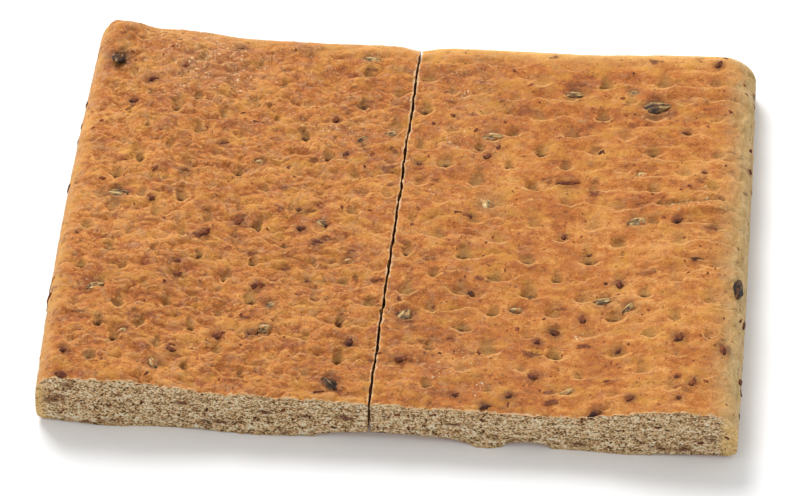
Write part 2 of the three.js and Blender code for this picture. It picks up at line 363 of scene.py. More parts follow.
# %% [markdown]
# ## Relief of the crust
# Between the dimples the skin lies in low terraces. Each falls towards the front and steps up again at a
# wandering lip that runs from dimple to dimple, as roof tiles do. The left half is crumpled into folds,
# the right half is smoother, and long ledges cross its right end. All of it could be painted as bump, but
# bump vanishes at the outline and in an exported mesh, so it is real height, added up from smooth noise.

# %% Waves, terraces and folds
Wave = namedtuple("Wave", "height length width layer")
LIP_WANDER = [Wave(1.0, 27, 20, 0.0), Wave(0.5, 9, 8, 1.1)]
LIP_NICKS = [Wave(1.7, 3.8, 3.4, 6.1), Wave(0.8, 1.9, 1.7, 8.3)]
LIP_PATCHES = [Wave(1.8, 1.3, 1.1, 4.6)]
LIP_STRENGTH = 0.3
LIP_SETBACK = 1.5
LIP_WIDTH = 0.07
FALL_POWER = 2.6
Terraces = namedtuple("Terraces", "pitch height run bow wander layer")
LARGE_TERRACES = Terraces(ROW_PITCH, 1.8, 0.14, 2.4, 4.6, 3.1)
SMALL_TERRACES = Terraces(7.2, 0.9, 0.2, 0.0, 6.0, 14.6)
LEDGES = Terraces(12.5, 2.3, 0.12, 0.0, 5.0, 22.4)
Fold = namedtuple("Fold", "size height layer")
FOLDS = [Fold(19.0, 2.6, 5.7), Fold(10.0, 3.3, 1.7), Fold(5.0, 1.9, 8.3), Fold(2.7, 0.6, 11.9)]
FOLD_STRETCH = 1.25
FOLD_MEAN = 0.22


def wave(x, y, length, width, layer):
    """Smooth random height from about -1 to 1, in bumps of this length along X and width along Y."""
    return noise.noise(Vector((x / length, y / width, layer)))


def waves(parts, x, y, layer=0.0):
    """Sum of waves, each with its own height and size."""
    return sum(p.height * wave(x, y, p.length, p.width, p.layer + layer) for p in parts)


def column_at(x):
    """The column number at a place along the slab, with fractions between columns."""
    beyond = column_place(SQUEEZE_FROM) - x
    if beyond <= 0:
        return (x - COLUMN_ZERO) / COLUMN_PITCH
    root = math.sqrt(max(COLUMN_PITCH ** 2 - 4 * COLUMN_SQUEEZE * beyond, 0))
    return SQUEEZE_FROM - (COLUMN_PITCH - root) / (2 * COLUMN_SQUEEZE)


def terrace(kind, x, y):
    """Fall of the terraces at a place, and how near the place is to a lip."""
    scallop = math.cos(math.pi * column_at(x)) * math.cos(math.pi * y / ROW_PITCH)
    wander = kind.wander * waves(LIP_WANDER, x, y, kind.layer) + waves(LIP_NICKS, x, y, kind.layer)
    phase = (y + LIP_SETBACK + wander + kind.bow * scallop) / kind.pitch
    step = phase - math.floor(phase)
    strength = clamp(LIP_STRENGTH + waves(LIP_PATCHES, x / kind.pitch, y / kind.pitch, kind.layer))
    fall = kind.height * strength * (1 - step) ** FALL_POWER * smoothstep(0, kind.run, step)
    return fall, strength * (bell(step / LIP_WIDTH) + bell((1 - step) / LIP_WIDTH))


def crumple(x, y):
    """Folded skin: low bumps between sharp creases."""
    total = 0.0
    for fold in FOLDS:
        total += fold.height * (abs(wave(x, y, FOLD_STRETCH * fold.size, fold.size, fold.layer)) - FOLD_MEAN)
    return total


print("lip strength at the middle", round(terrace(LARGE_TERRACES, 0, 0)[1], 2))

# %% [markdown]
# ## One dimple
# A peg pushes a cup into the dough. Seen from above, a cup is round on the smooth right half and comes to
# a point on the crumpled left half. Its floor drops steeply behind the front lip and rises slowly to the
# back, and the dough in front of it swells up into a low hill.

# %% One dimple
CRUMPLED_AT = (-70.0, 70.0)
SMOOTH_SHARE = 0.4
CUP_FRONT = 0.85
CUP_WIDE = 1.4
CUP_NARROWER = 0.58
CUP_POINT = 2.1
CUP_SHARPER = 0.85
CUP_WALL = (0.42, 1.04)
CUP_BACK_POWER = 0.8
CUP_LIP_AT = 1.16
CUP_LIP_WIDTH = 0.17
CUP_LIP_ENDS = 1.7
SINK_SHARE = 0.22
SINK_REACH = 8.0
SINK_BACK = 4.0
HILL_RISE = 0.75
HILL_FRONT = 7.0
HILL_WIDE = 6.0
HILL_LONG = 3.6


def at_least(least, share):
    """Moves a share of 0 to 1 into the range from least to 1."""
    return least + (1 - least) * share


def crumpled_share(x):
    """How crumpled the skin is: all over the left half, less on the right."""
    return at_least(SMOOTH_SHARE, 1 - smoothstep(*CRUMPLED_AT, x))


def cup_at(dimple, x, y):
    """Depth of one dimple at a place, how far the place is in its floor, and its raised front lip."""
    crumpled = crumpled_share(dimple.x)
    point = CUP_POINT - CUP_SHARPER * crumpled
    across = abs(x - dimple.x) / (dimple.radius * (CUP_WIDE - CUP_NARROWER * crumpled))
    along = (y - dimple.y) / dimple.radius
    sink = SINK_SHARE * bell((x - dimple.x) / SINK_REACH) * bell((y - dimple.y - SINK_BACK) / SINK_REACH)
    lip = 0.0
    if along < 0:
        along /= -CUP_FRONT
        out = (across ** point + along ** point) ** (1 / point)
        floor_share = 1 - smoothstep(*CUP_WALL, out)
        lip = bell((out - CUP_LIP_AT) / CUP_LIP_WIDTH) * clamp(CUP_LIP_ENDS * along)
    else:
        out = math.hypot(across, along / dimple.back)
        floor_share = (1 - smoothstep(0.0, 1.0, out)) ** CUP_BACK_POWER
    return dimple.depth * (floor_share + sink), floor_share, lip


def hill_at(dimple, x, y):
    """The dough that a peg pushed forward swells up in front of its dimple."""
    return HILL_RISE * bell((x - dimple.x) / HILL_WIDE) * bell((y - dimple.y + HILL_FRONT) / HILL_LONG)


print("floor of the first dimple", [round(v, 2) for v in cup_at(dimples[0], dimples[0].x, dimples[0].y)])

# %% [markdown]
# ## The whole relief
# Terraces, folds, ledges, cups and peg holes are added up at each place. The front right part is calmer
# than the rest, and a little noise on the coordinates makes the outlines of the cups ragged. Besides the
# height, the shares of dimple floor and of lip are handed back, because the finishes colour them: the lips
# with a painted highlight, the floors partly with painted shade.

# %% The whole relief
RIPPLES = [Wave(0.9, 34, 14, 0.3)]
LEDGES_AT = (95.0, 150.0)
LEDGE_STRETCH = 0.45
LEDGES_CALM = 0.6
FRONT_CALM = 0.65
FRONT_CALM_X = (0.0, 60.0)
FRONT_CALM_Y = (-110.0, -30.0)
CUP_RAGGED_X = [Wave(2.4, 5.5, 5.5, 21.3)]
CUP_RAGGED_Y = [Wave(2.4, 5.5, 5.5, 25.8)]
CUP_RAGGED_LEAST = 0.4
CUPS_NEAR = 4
CUP_LIP_RISE = 0.4
HOLLOW_START = 0.2
HOLLOW_BY_DEPTH = 0.45
HOLE_DEPTH = 1.7
HOLE_RADIUS = 1.6
HOLE_FLOOR = 0.2


def crust_relief(x, y):
    """Height of the skin over the plain form, and the shares of dimple floor and of lip there."""
    share = crumpled_share(x)
    fall, lip = terrace(LARGE_TERRACES, x, y)
    small_fall, small_lip = terrace(SMALL_TERRACES, x, y)
    lip = max(lip, share * small_lip)
    ledge_share = smoothstep(*LEDGES_AT, x)
    if ledge_share > 0:
        ledge_fall, ledge_lip = terrace(LEDGES, LEDGE_STRETCH * x, y)
        fall += ledge_share * (ledge_fall - LEDGES_CALM * fall)
        lip = max(lip * (1 - LEDGES_CALM * ledge_share), ledge_share * ledge_lip)
    calm = 1 - FRONT_CALM * smoothstep(*FRONT_CALM_X, x) * (1 - smoothstep(*FRONT_CALM_Y, y))
    lip *= calm
    height = waves(RIPPLES, x, y) - calm * fall + share * (crumple(x, y) - small_fall)
    ragged = at_least(CUP_RAGGED_LEAST, share)
    ragged_x = x + ragged * waves(CUP_RAGGED_X, x, y)
    ragged_y = y + ragged * waves(CUP_RAGGED_Y, x, y)
    deepest = 0.0
    hollow = 0.0
    for _, number, _ in cup_tree.find_n((x, y, 0), CUPS_NEAR):
        cup = cups[number]
        depth, floor_share, cup_lip = cup_at(cup, ragged_x, ragged_y)
        deepest = max(deepest, depth)
        hollow = max(hollow, floor_share * clamp(HOLLOW_START + HOLLOW_BY_DEPTH * cup.depth))
        lip = max(lip, cup_lip)
        height += CUP_LIP_RISE * cup_lip + hill_at(cup, ragged_x, ragged_y)
    _, _, to_hole = hole_tree.find((x, y, 0))
    deepest += HOLE_DEPTH * (1 - smoothstep(HOLE_FLOOR * HOLE_RADIUS, HOLE_RADIUS, to_hole))
    return height - deepest, hollow, lip * (1 - hollow)


print("relief at a dimple", [round(v, 2) for v in crust_relief(COLUMN_ZERO, 0)])

# %% [markdown]
# ## The knife and the underside
# One cut parts the halves. A real knife wavers, so its line is nearly straight, not straight. The bread
# doesn't lie flat everywhere either: under the front edge there are shallow hollows, and in between the
# knife dragged the bottom crust along, so that the foot of the cut front stands out a little.

# %% The knife and the underside
CUT_MIDDLE = -5.3
CUT_SKEW = 0.0217
KNIFE_WAVER = [Wave(0.7, 24, 1, 1.4), Wave(0.3, 8, 1, 6.4)]
Hollow = namedtuple("Hollow", "x half_width depth height")
HOLLOWS = [Hollow(4.0, 42.0, 45.0, 4.2), Hollow(76.0, 13.0, 30.0, 4.0), Hollow(198.0, 50.0, 40.0, 2.6)]
EDGE_WAVES = [Wave(1.3, 23, 1, 12.5), Wave(0.52, 8, 1, 3.5)]
EDGE_WAVE_REACH = 16.0
Flare = namedtuple("Flare", "x half_width out")
FLARES = [Flare(-152.0, 24.0, 2.2), Flare(-68.0, 36.0, 2.5), Flare(54.0, 9.0, 2.4), Flare(130.0, 16.0, 1.0)]
FLARE_TOP = 0.5


def cut_line(y):
    """Where the knife went: nearly straight, with a slight waver."""
    return CUT_MIDDLE + CUT_SKEW * y + waves(KNIFE_WAVER, y, 0)


def underside_lift(x, y):
    """How far the underside stands above the surface, near the front edge."""
    lift = 0.0
    for hollow in HOLLOWS:
        out = ((x - hollow.x) / hollow.half_width) ** 2 + ((y - FRONT) / hollow.depth) ** 2
        lift = max(lift, hollow.height * math.sqrt(max(1 - out, 0)))
    return lift + max(0, waves(EDGE_WAVES, x, 0)) * bell((y - FRONT) / EDGE_WAVE_REACH)


def foot_flare(x, level):
    """How far the foot of the cut front stands out, where the knife dragged the bottom crust along."""
    out = max(flare.out * bell((x - flare.x) / flare.half_width) for flare in FLARES)
    return out * (1 - smoothstep(0.0, FLARE_TOP, level))


print("cut at the front", round(cut_line(FRONT), 1), "and at the back", round(cut_line(BACK), 1))

# %% [markdown]
# ## The baked edges
# Towards the baked edges the skin was stretched smooth, so the relief fades there. The rim caught the
# heat less and stayed straw-coloured; on the left and back edges, which face the light, it also gets a
# painted highlight. The walls, which leaned on the tray, stayed pale. These shares depend on how far a
# point is from each edge, measured along the skin and on down the wall.

# %% Shares along the baked edges
RIM_LEFT = 12.0
RIM_BACK = 22.0
RIM_BRIGHTER = (120.0, 240.0)
RIM_LEAST = 0.4
WALL_RIGHT = (-14.0, 29.0)
WALL_OTHER = (-18.0, -2.0)
CALM_LEFT = (-6.0, 20.0)
CALM_BACK = (-6.0, 18.0)
CALM_RIGHT = (-26.0, 4.0)
CALM_LEAST = 0.12
FOOT_FADE = (0.0, 0.25)


def edge_shares(from_left, from_right, from_back):
    """Shares of rim (straw with a painted highlight) and of pale wall, by distance along the skin to the
    edges.
    """
    back_strength = at_least(RIM_LEAST, smoothstep(*RIM_BRIGHTER, from_left))
    left_rim = RIM_LEAST * (1 - smoothstep(0, RIM_LEFT, from_left))
    rim = max(left_rim, back_strength * (1 - smoothstep(0, RIM_BACK, from_back)))
    other_wall = 1 - smoothstep(*WALL_OTHER, min(from_left, from_back))
    return rim, max(1 - smoothstep(*WALL_RIGHT, from_right), other_wall)


def calm_share(from_left, from_right, from_back):
    """How much of the relief is left towards the baked edges."""
    least = min(smoothstep(*CALM_LEFT, from_left), smoothstep(*CALM_BACK, from_back))
    return at_least(CALM_LEAST, min(least, smoothstep(*CALM_RIGHT, from_right)))


print("relief left on the left edge", round(calm_share(0, WIDTH, BACK), 2))

# %% [markdown]
# ## From a block to bread
# A plain block becomes bread when each of its points is moved: points near an outer edge are pulled onto
# a round shoulder, the foot is drawn in, the ends bow, and the skin's relief pushes points out along the
# shoulder's own direction. Doing it point by point keeps the block's tidy grid of faces.

# %% From a block to bread
LEFT_ROUND = 11.0
RIGHT_ROUND = 19.0
BACK_ROUND = 14.0
SHOULDER_SHARE = 0.5
FOOT_ROUND = 4.0
Bow = namedtuple("Bow", "depth middle")
LEFT_BOW = Bow(3.8, -25.0)
RIGHT_BOW = Bow(1.1, 60.0)
BOW_HALF_LENGTH = 160.0
BOW_REACH = 45.0
BACK_NICK = 3.0
BACK_NICK_REACH = 9.0
Spot = namedtuple("Spot", "place hollow lip rim wall")


def bread_point(x, y, level):
    """The place on the bread of a block's point; level runs from 0 at the foot to 1 on top."""
    edge = LEFT_ROUND if x < 0 else RIGHT_ROUND
    side = math.copysign(1, x)
    out = Vector((max(0, abs(x) - END + edge) / edge, max(0, y - BACK + BACK_ROUND) / BACK_ROUND,
                  max(0, level - 1 + SHOULDER_SHARE) / SHOULDER_SHARE))
    pull = max(out) / out.length if out.length > 0 else 0.0
    share = min(level, 1 - SHOULDER_SHARE) + SHOULDER_SHARE * out.z * pull
    foot = clamp(1 - share * MID_HEIGHT / FOOT_ROUND)
    inset = FOOT_ROUND * (1 - math.sqrt(1 - foot * foot))
    plan_x = side * (min(abs(x), END - edge) + out.x * pull * (edge - inset))
    plan_y = min(y, BACK - BACK_ROUND) + out.y * pull * (BACK_ROUND - inset)
    tall = slab_height(plan_x, plan_y)
    lift = underside_lift(plan_x, plan_y)
    height = lift + share * (tall - lift)

    # The ends bow, and the back edge is nicked where the knife came out
    near_end = smoothstep(END - BOW_REACH, END, abs(plan_x))
    near_back = smoothstep(BACK - BOW_REACH, BACK, plan_y)
    bow = LEFT_BOW if x < 0 else RIGHT_BOW
    drawn_in = near_end * bow.depth * ((plan_y - bow.middle) / BOW_HALF_LENGTH) ** 2
    nick = near_back * BACK_NICK * bell((plan_x - cut_line(plan_y)) / BACK_NICK_REACH)

    # The skin's pattern runs on over the shoulder and down the wall, and fades at the foot
    down = (1 - level) * tall
    along_x = x + side * down * (out.x > 0)
    along_y = y + down * (out.y > 0)
    relief, hollow, lip = (0.0, 0.0, 0.0)
    if out.length > 0:
        relief, hollow, lip = crust_relief(along_x, along_y)
    push = Vector((side * out.x, out.y, out.z)) / max(out.length, 1)
    edges = (END + along_x, END - along_x, BACK - along_y)
    rim, wall = edge_shares(*edges)
    relief *= calm_share(*edges) * smoothstep(*FOOT_FADE, level)
    point = Vector((plan_x - side * drawn_in, plan_y - nick, height)) + push * relief
    return Spot(point, hollow, lip, rim, wall)


print("right shoulder", [round(v, 1) for v in bread_point(END, 0, 1).place])

# %% [markdown]
# ## One half as a block of tidy faces
# A cube is split along X, Y and Z into a fine grid, so each of its six sides is a sheet of small squares.
# Before that its faces are told what they will be: crust, crumb or underside, and splitting hands that
# on. The underside needs no fine grid, so it is taken out and a coarse sheet is bridged into the hole.

# %% A plain block for one half
CRUST, CRUMB, UNDERSIDE = range(3)
BLOCK_CUTS = (218, 338, 16)
UNDERSIDE_MARGIN = 0.04
UNDERSIDE_CUTS = (32, 48)


def plain_block(cut_at_low_x):
    """A unit block, finely cut, whose faces carry the number of their finish."""
    bm = bmesh.new()
    bmesh.ops.create_cube(bm, size=1, matrix=Matrix.Translation((0.5, 0.5, 0.5)))
    bm.normal_update()
    cut_side = -1 if cut_at_low_x else 1
    for face in bm.faces:
        trimmed = face.normal.y < -0.5 or face.normal.x * cut_side > 0.5
        face.material_index = CRUMB if trimmed else CRUST
    bottom = [face for face in bm.faces if face.normal.z < -0.5]
    bmesh.ops.delete(bm, geom=bottom, context="FACES_ONLY")
    for axis, pieces in enumerate(BLOCK_CUTS):
        edges = [e for e in bm.edges if abs(e.verts[0].co[axis] - e.verts[1].co[axis]) > 0.5]
        bmesh.ops.subdivide_edges(bm, edges=edges, cuts=pieces - 1, use_grid_fill=True)
    return bm


def close_underside(bm):
    """Fills the open foot of a block with a coarse sheet."""
    rim = [e for e in bm.edges if e.is_boundary]
    middle = Matrix.Translation((0.5, 0.5, 0)) @ Matrix.Scale(0.5 - UNDERSIDE_MARGIN, 4)
    sheet = bmesh.ops.create_grid(bm, x_segments=UNDERSIDE_CUTS[0], y_segments=UNDERSIDE_CUTS[1],
                                  size=1, matrix=middle)
    sheet_rim = {e for v in sheet["verts"] for e in v.link_edges if e.is_boundary}
    bridge = bmesh.ops.bridge_loops(bm, edges=rim + list(sheet_rim))
    below = {f for v in sheet["verts"] for f in v.link_faces} | set(bridge["faces"])
    for face in below:
        face.material_index = UNDERSIDE
    bmesh.ops.recalc_face_normals(bm, faces=bm.faces)


trial = plain_block(True)
close_underside(trial)
print("block", len(trial.faces), "faces, open edges", sum(e.is_boundary for e in trial.edges))
trial.free()

# %% [markdown]
# ## What a point knows
# The finishes need to know more of a point than its place: whether it is near a dark seed or peg hole,
# which get stain and painted shade, on a smudge that a cut seed left on the front, in the baked rind of a
# cut face, or where oil left a thin shine, which is glossier and gets painted glints.
# Pictures could be painted for that, but a number per point follows the mesh wherever it goes.

# %% Stains with painted shade, smudges, rind and shine
STAIN_AND_SHADE_CORE = 0.5
STAIN_AND_SHADE_REACH = 2.1
STAIN_AND_SHADE_FADE = 0.7
SMUDGE_SHARP = 1.6
Smudge = namedtuple("Smudge", "x z length height")
FRONT_SMUDGES = [Smudge(*row) for row in (
    (-169, 27, 6, 4), (-109, 19, 9, 2.4), (-145, 3.5, 10, 2), (-21, 15, 9, 4), (35, 14.6, 12, 2),
    (150, 6, 14, 2), (160, 6, 6, 4), (174, 15, 7, 3), (-178, 17, 10, 6), (-88, 7, 8, 2), (-64, 16, 7, 2.5),
    (-44, 14, 8, 1.8), (104, 5, 10, 3),
)]
RIND_LEFT = 11.0
RIND_RIGHT = 17.0
RIND_CORE = 0.3
RIND_TOP = (0.3, 2.4)
RIND_FOOT = (0.8, 3.0)
RIND_SHARE = 0.7
GlazeAndGlint = namedtuple("GlazeAndGlint", "x y wide deep strength")
GLAZE_AND_GLINT_SPOTS = [GlazeAndGlint(-124, 114, 36, 26, 1.0), GlazeAndGlint(-50, 62, 30, 16, 0.4), GlazeAndGlint(28, 85, 20, 40, 0.3),
          GlazeAndGlint(40, -115, 28, 24, 0.25)]


def stain_and_shade_at(x, y):
    """Darkening from the nearest of the dark seeds and peg holes: stain with painted shade by a seed,
    painted shade in a hole.
    """
    _, number, distance = stain_and_shade_tree.find((x, y, 0))
    seed = stains_and_shades[number]
    reach = (seed.length + seed.width) / 4
    return (1 - smoothstep(STAIN_AND_SHADE_CORE * reach, STAIN_AND_SHADE_REACH * reach, distance)) * (1 - STAIN_AND_SHADE_FADE * seed.tone)


def smudge_at(x, z):
    """Share of dark smudge on the cut front, from seeds that the knife went through."""
    nearest = min(math.hypot((x - s.x) / s.length, (z - s.z) / s.height) for s in FRONT_SMUDGES)
    return bell(SMUDGE_SHARP * nearest)


def rind_at(point):
    """Share of baked rind on a cut face: under the skin, along the foot and at the baked ends."""
    end_band = RIND_LEFT if point.x < 0 else RIND_RIGHT
    end = 1 - smoothstep(RIND_CORE * end_band, end_band, END - abs(point.x))
    top = 1 - smoothstep(*RIND_TOP, slab_height(point.x, point.y) - point.z)
    foot = 1 - smoothstep(*RIND_FOOT, point.z)
    return max(end, RIND_SHARE * top, RIND_SHARE * foot)


def glaze_and_glints_at(x, y):
    """Share of thin oily skin, mostly at the back left and beside the cut: glossier, with painted glints."""
    return max(g.strength * bell((x - g.x) / g.wide) * bell((y - g.y) / g.deep) for g in GLAZE_AND_GLINT_SPOTS)


print(len(FRONT_SMUDGES), "smudges, shine at the back left", round(glaze_and_glints_at(-124, 100), 2))

# %% [markdown]
# ## Shaping a half
# Each point of the block goes to its place on the bread, and the cut faces and their upper edges are torn
# a little, as crumb tears under a knife. What a point knows is kept beside it in named layers of numbers,
# which the materials read later.

# %% Shaping
LAYERS = ("hollow", "lip", "rim", "wall", "stain_and_shade", "rind", "glaze_and_glints", "torn")
CUT_GAP = 1.4
KNIFE_NICKS = [Wave(0.75, 6, 1, 0.0)]
KNIFE_LAYER = 40
CRUMB_BITES = [Wave(0.45, 3.4, 2.6, 15.1), Wave(0.315, 1.7, 1.5, 11.3)]
CUT_BITES_SHARE = 0.5
TORN_BITES = [Wave(1.3, 4.5, 4.5, 2.2)]
TORN_MEAN = 0.45
TORN_DROP = 1.3
TORN_REACH = 1.3
TORN_CUT_SHARE = 0.5
TORN_LEVEL = (0.8, 1.0)
STAIN_AND_SHADE_LEVEL = 0.6


def shape_half(bm, cut_at_low_x):
    """Moves every point of the block to its place on one half of the bread."""
    layers = [bm.verts.layers.float.new(name) for name in LAYERS]
    side = 1 if cut_at_low_x else -1
    for vert in bm.verts:
        across, along, level = vert.co
        y = FRONT + along * DEPTH
        knife = cut_line(y) + side * (CUT_GAP / 2 + waves(KNIFE_NICKS, y, 0, KNIFE_LAYER * side))
        from_cut = across if cut_at_low_x else 1 - across
        x = knife + side * from_cut * (END - side * knife)
        spot = bread_point(x, y, level)
        point = spot.place
        if from_cut == 0:
            point.x += side * CUT_BITES_SHARE * waves(CRUMB_BITES, y, point.z)
        if along == 0:
            point.y += waves(CRUMB_BITES, x, point.z) - foot_flare(x, level)
        at_cut = bell(from_cut * WIDTH / 2 / TORN_REACH)
        at_front = bell(along * DEPTH / TORN_REACH)
        ragged = clamp(TORN_MEAN + waves(TORN_BITES, x, y)) * smoothstep(*TORN_LEVEL, level)
        point.z -= TORN_DROP * max(TORN_CUT_SHARE * at_cut, at_front) * ragged
        vert.co = point * MM
        stain_and_shade = 0.0
        if along == 0:
            stain_and_shade = smudge_at(point.x, point.z)
        elif level > STAIN_AND_SHADE_LEVEL:
            stain_and_shade = stain_and_shade_at(point.x, point.y)
        known = (spot.hollow, spot.lip, spot.rim, spot.wall, stain_and_shade, rind_at(point),
                 glaze_and_glints_at(point.x, point.y), max(at_cut, at_front))
        for note, value in zip(layers, known):
            vert[note] = value


def mark_ridges(bm):
    """Notes how far each point stands out from its neighbours: lips above 0, creases below."""
    ridge = bm.verts.layers.float.new("ridge")
    bm.normal_update()
    for vert in bm.verts:
        around = [edge.other_vert(vert).co for edge in vert.link_edges]
        mean = sum(around, Vector()) / len(around)
        vert[ridge] = (vert.co - mean).dot(vert.normal) / MM


def make_half(name, cut_at_low_x):
    """One half of the bread, with a sharp edge where crust meets crumb."""
    bm = plain_block(cut_at_low_x)
    close_underside(bm)
    shape_half(bm, cut_at_low_x)
    mark_ridges(bm)
    for edge in bm.edges:
        finishes = {face.material_index for face in edge.link_faces}
        edge.smooth = finishes != {CRUST, CRUMB}
    for face in bm.faces:
        face.smooth = True
    return show(name, mesh_of(bm, name))


left_bread = make_half("left_bread", False)
right_bread = make_half("right_bread", True)
for piece, node in ((left_bread, "left_half"), (right_bread, "right_half")):
    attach(piece, "root")
    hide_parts(node)
    print(piece.name, "has", len(piece.data.polygons), "faces")

# %% [markdown]
# ## Small tools for materials
# Every finish is a tree of shader nodes. A few helpers keep the trees short to read: they place a node and
# fill its sockets, multiply, add up and mix. A finish is then built as a painter builds it, in coats: each
# coat has a colour and a share that says where it covers. Colours are written as a screen shows them, 0 to
# 255, and turned into the linear values that a shader wants.

# %% Node helpers
def srgb(red, green, blue):
    """A colour as a screen shows it, made linear for a shader."""
    linear = []
    for value in (red, green, blue):
        share = value / 255
        linear.append(share / 12.92 if share <= 0.04045 else ((share + 0.055) / 1.055) ** 2.4)
    return (*linear, 1)


def fill(tree, socket, value):
    """Links a socket to another one, or sets its own value."""
    if isinstance(value, bpy.types.NodeSocket):
        tree.links.new(value, socket)
    else:
        socket.default_value = value


def place(tree, kind, inputs=None, **settings):
    """Places a node, sets its options and fills its sockets with values or links."""
    node = tree.nodes.new("ShaderNode" + kind)
    for option, value in settings.items():
        setattr(node, option, value)
    for name, value in (inputs or {}).items():
        fill(tree, node.inputs[name], value)
    return node


def math_of(tree, operation, a, b=0.0):
    return place(tree, "Math", {0: a, 1: b}, operation=operation).outputs[0]


def times(tree, first, *others):
    """Multiplies shares with each other."""
    for other in others:
        first = math_of(tree, "MULTIPLY", first, other)
    return first


def weighed(tree, parts, start):
    """Adds up values, each times its weight, from a start value."""
    total = start
    for value, weight in parts:
        total = place(tree, "Math", {0: value, 1: weight, 2: total}, operation="MULTIPLY_ADD").outputs[0]
    return total


def between(tree, value, low, high, to_low=0.0, to_high=1.0):
    """Turns a range of a value softly into another range."""
    inputs = {"Value": value, "From Min": low, "From Max": high, "To Min": to_low, "To Max": to_high}
    return place(tree, "MapRange", inputs, interpolation_type="SMOOTHSTEP").outputs["Result"]


def coated(tree, colour, coats, blend="MIX"):
    """Lays coats over a colour, each with its share and its own colour."""
    for share, coat in coats:
        mix = place(tree, "Mix", {0: share, 6: colour, 7: coat}, data_type="RGBA", blend_type=blend)
        colour = mix.outputs[2]
    return colour


def ramp(tree, value, stops):
    """Colours a value by stops of (position, colour)."""
    node = place(tree, "ValToRGB", {"Fac": value})
    elements = node.color_ramp.elements
    while len(elements) < len(stops):
        elements.new(1.0)
    for element, (position, colour) in zip(elements, stops):
        element.position = position
        element.color = colour
    return node.outputs["Color"]


def raised(tree, shader, height, strength, distance):
    """Lets a height catch the light as fine grain."""
    bump = place(tree, "Bump", {"Height": height, "Strength": strength, "Distance": distance * MM})
    fill(tree, shader.inputs["Normal"], bump.outputs["Normal"])


print("golden crust is", [round(v, 3) for v in srgb(190, 117, 52)[:3]])

# %% [markdown]
# ## Places and clouds
# Four helpers say where a pattern is: they read a layer of the mesh, give the place on the piece in
# millimetres, make clouds of noise, and pick patches out of the clouds. A cloud is written as its size,
# its detail and its roughness, and a band as the range of a value and the shares at its two ends.

# %% Places and clouds
def layer(tree, name):
    """A layer of numbers that the mesh carries."""
    return place(tree, "Attribute", attribute_name=name).outputs["Fac"]


def millimetres(tree, stretch=(1, 1, 1)):
    """The place on the piece in millimetres, stretched where a pattern is longer one way."""
    coordinates = place(tree, "TexCoord").outputs["Object"]
    scale = tuple(1 / (MM * s) for s in stretch)
    return place(tree, "Mapping", {"Vector": coordinates, "Scale": scale}).outputs["Vector"]


def mottle(tree, at, size, detail=3.0, roughness=0.55):
    """Cloudy variation from 0 to 1, in patches of this size."""
    inputs = {"Vector": at, "Scale": 1 / size, "Detail": detail, "Roughness": roughness}
    return place(tree, "TexNoise", inputs).outputs["Fac"]


def patches(tree, at, cloud, band):
    """A share that rises where clouds pass through a band of values."""
    return between(tree, mottle(tree, at, *cloud), *band)


carried = [item.name for item in left_bread.data.attributes if item.name in LAYERS]
print("layers to read", carried)

# %% [markdown]
# ## Flecks, shared by the finishes
# Bran shows as small red-brown flecks in crust, crumb and underside alike, so it is made once as a node
# group. A Voronoi texture drops one fleck in each cell, and the cell's own random colour decides whether
# the fleck is there and how dark it is. A noise bends the cells, so no fleck is a neat disc.

# %% The fleck group
FLOAT = "NodeSocketFloat"
VECTOR = "NodeSocketVector"
FLECK_SOCKETS = [("Place", "INPUT", VECTOR), ("Spacing", "INPUT", FLOAT), ("Radius", "INPUT", FLOAT),
                 ("Share", "INPUT", FLOAT), ("Mask", "OUTPUT", FLOAT), ("Tone", "OUTPUT", FLOAT)]
BEND_FINER = 2.5
BEND_DETAIL = 4.0
MIDDLE_GREY = (0.5, 0.5, 0.5)
FLECK_SIZES = (0.5, 0.7)
FLECK_EDGE = (0.4, 1.1, 1.0, 0.0)

flecks = bpy.data.node_groups.new("bran_flecks", "ShaderNodeTree")
for label, direction, kind in FLECK_SOCKETS:
    flecks.interface.new_socket(name=label, in_out=direction, socket_type=kind)
given = flecks.nodes.new("NodeGroupInput")
made = flecks.nodes.new("NodeGroupOutput")
at = given.outputs["Place"]
spacing = given.outputs["Spacing"]
fineness = math_of(flecks, "DIVIDE", 1.0, spacing)
bend_noise = {"Vector": at, "Scale": times(flecks, fineness, BEND_FINER), "Detail": BEND_DETAIL}
bend = place(flecks, "TexNoise", bend_noise).outputs["Color"]
bend_by = place(flecks, "VectorMath", {0: bend, 1: MIDDLE_GREY}, operation="SUBTRACT").outputs[0]
bend_size = place(flecks, "VectorMath", {0: bend_by, "Scale": spacing}, operation="SCALE").outputs[0]
bent = place(flecks, "VectorMath", {0: at, 1: bend_size}, operation="ADD").outputs[0]
cells = place(flecks, "TexVoronoi", {"Vector": bent, "Scale": fineness})
chance = place(flecks, "SeparateColor", {"Color": cells.outputs["Color"]})
there = math_of(flecks, "LESS_THAN", chance.outputs[0], given.outputs["Share"])
own_size = weighed(flecks, [(chance.outputs[1], FLECK_SIZES[1])], FLECK_SIZES[0])
reach = times(flecks, given.outputs["Radius"], own_size, fineness)
spot = between(flecks, math_of(flecks, "DIVIDE", cells.outputs["Distance"], reach), *FLECK_EDGE)
flecks.links.new(times(flecks, spot, there), made.inputs["Mask"])
flecks.links.new(chance.outputs[2], made.inputs["Tone"])


def fleck_mask(tree, at, spacing, radius, share):
    """Places the fleck group and gives back its mask and tone."""
    node = tree.nodes.new("ShaderNodeGroup")
    node.node_tree = flecks
    for name, value in (("Place", at), ("Spacing", spacing), ("Radius", radius), ("Share", share)):
        fill(tree, node.inputs[name], value)
    return node.outputs["Mask"], node.outputs["Tone"]


print("fleck group has", len(flecks.nodes), "nodes")

# %% [markdown]
# ## Crust, the browning
# The skin is straw-coloured where it is thin, then golden, orange-brown and brown where it browned. Real
# browning comes in clouds of all sizes, so four sizes of noise are added up, and the sum runs through a
# ramp of colours. The right end is a little paler, the back and the front beside the cut a little darker.

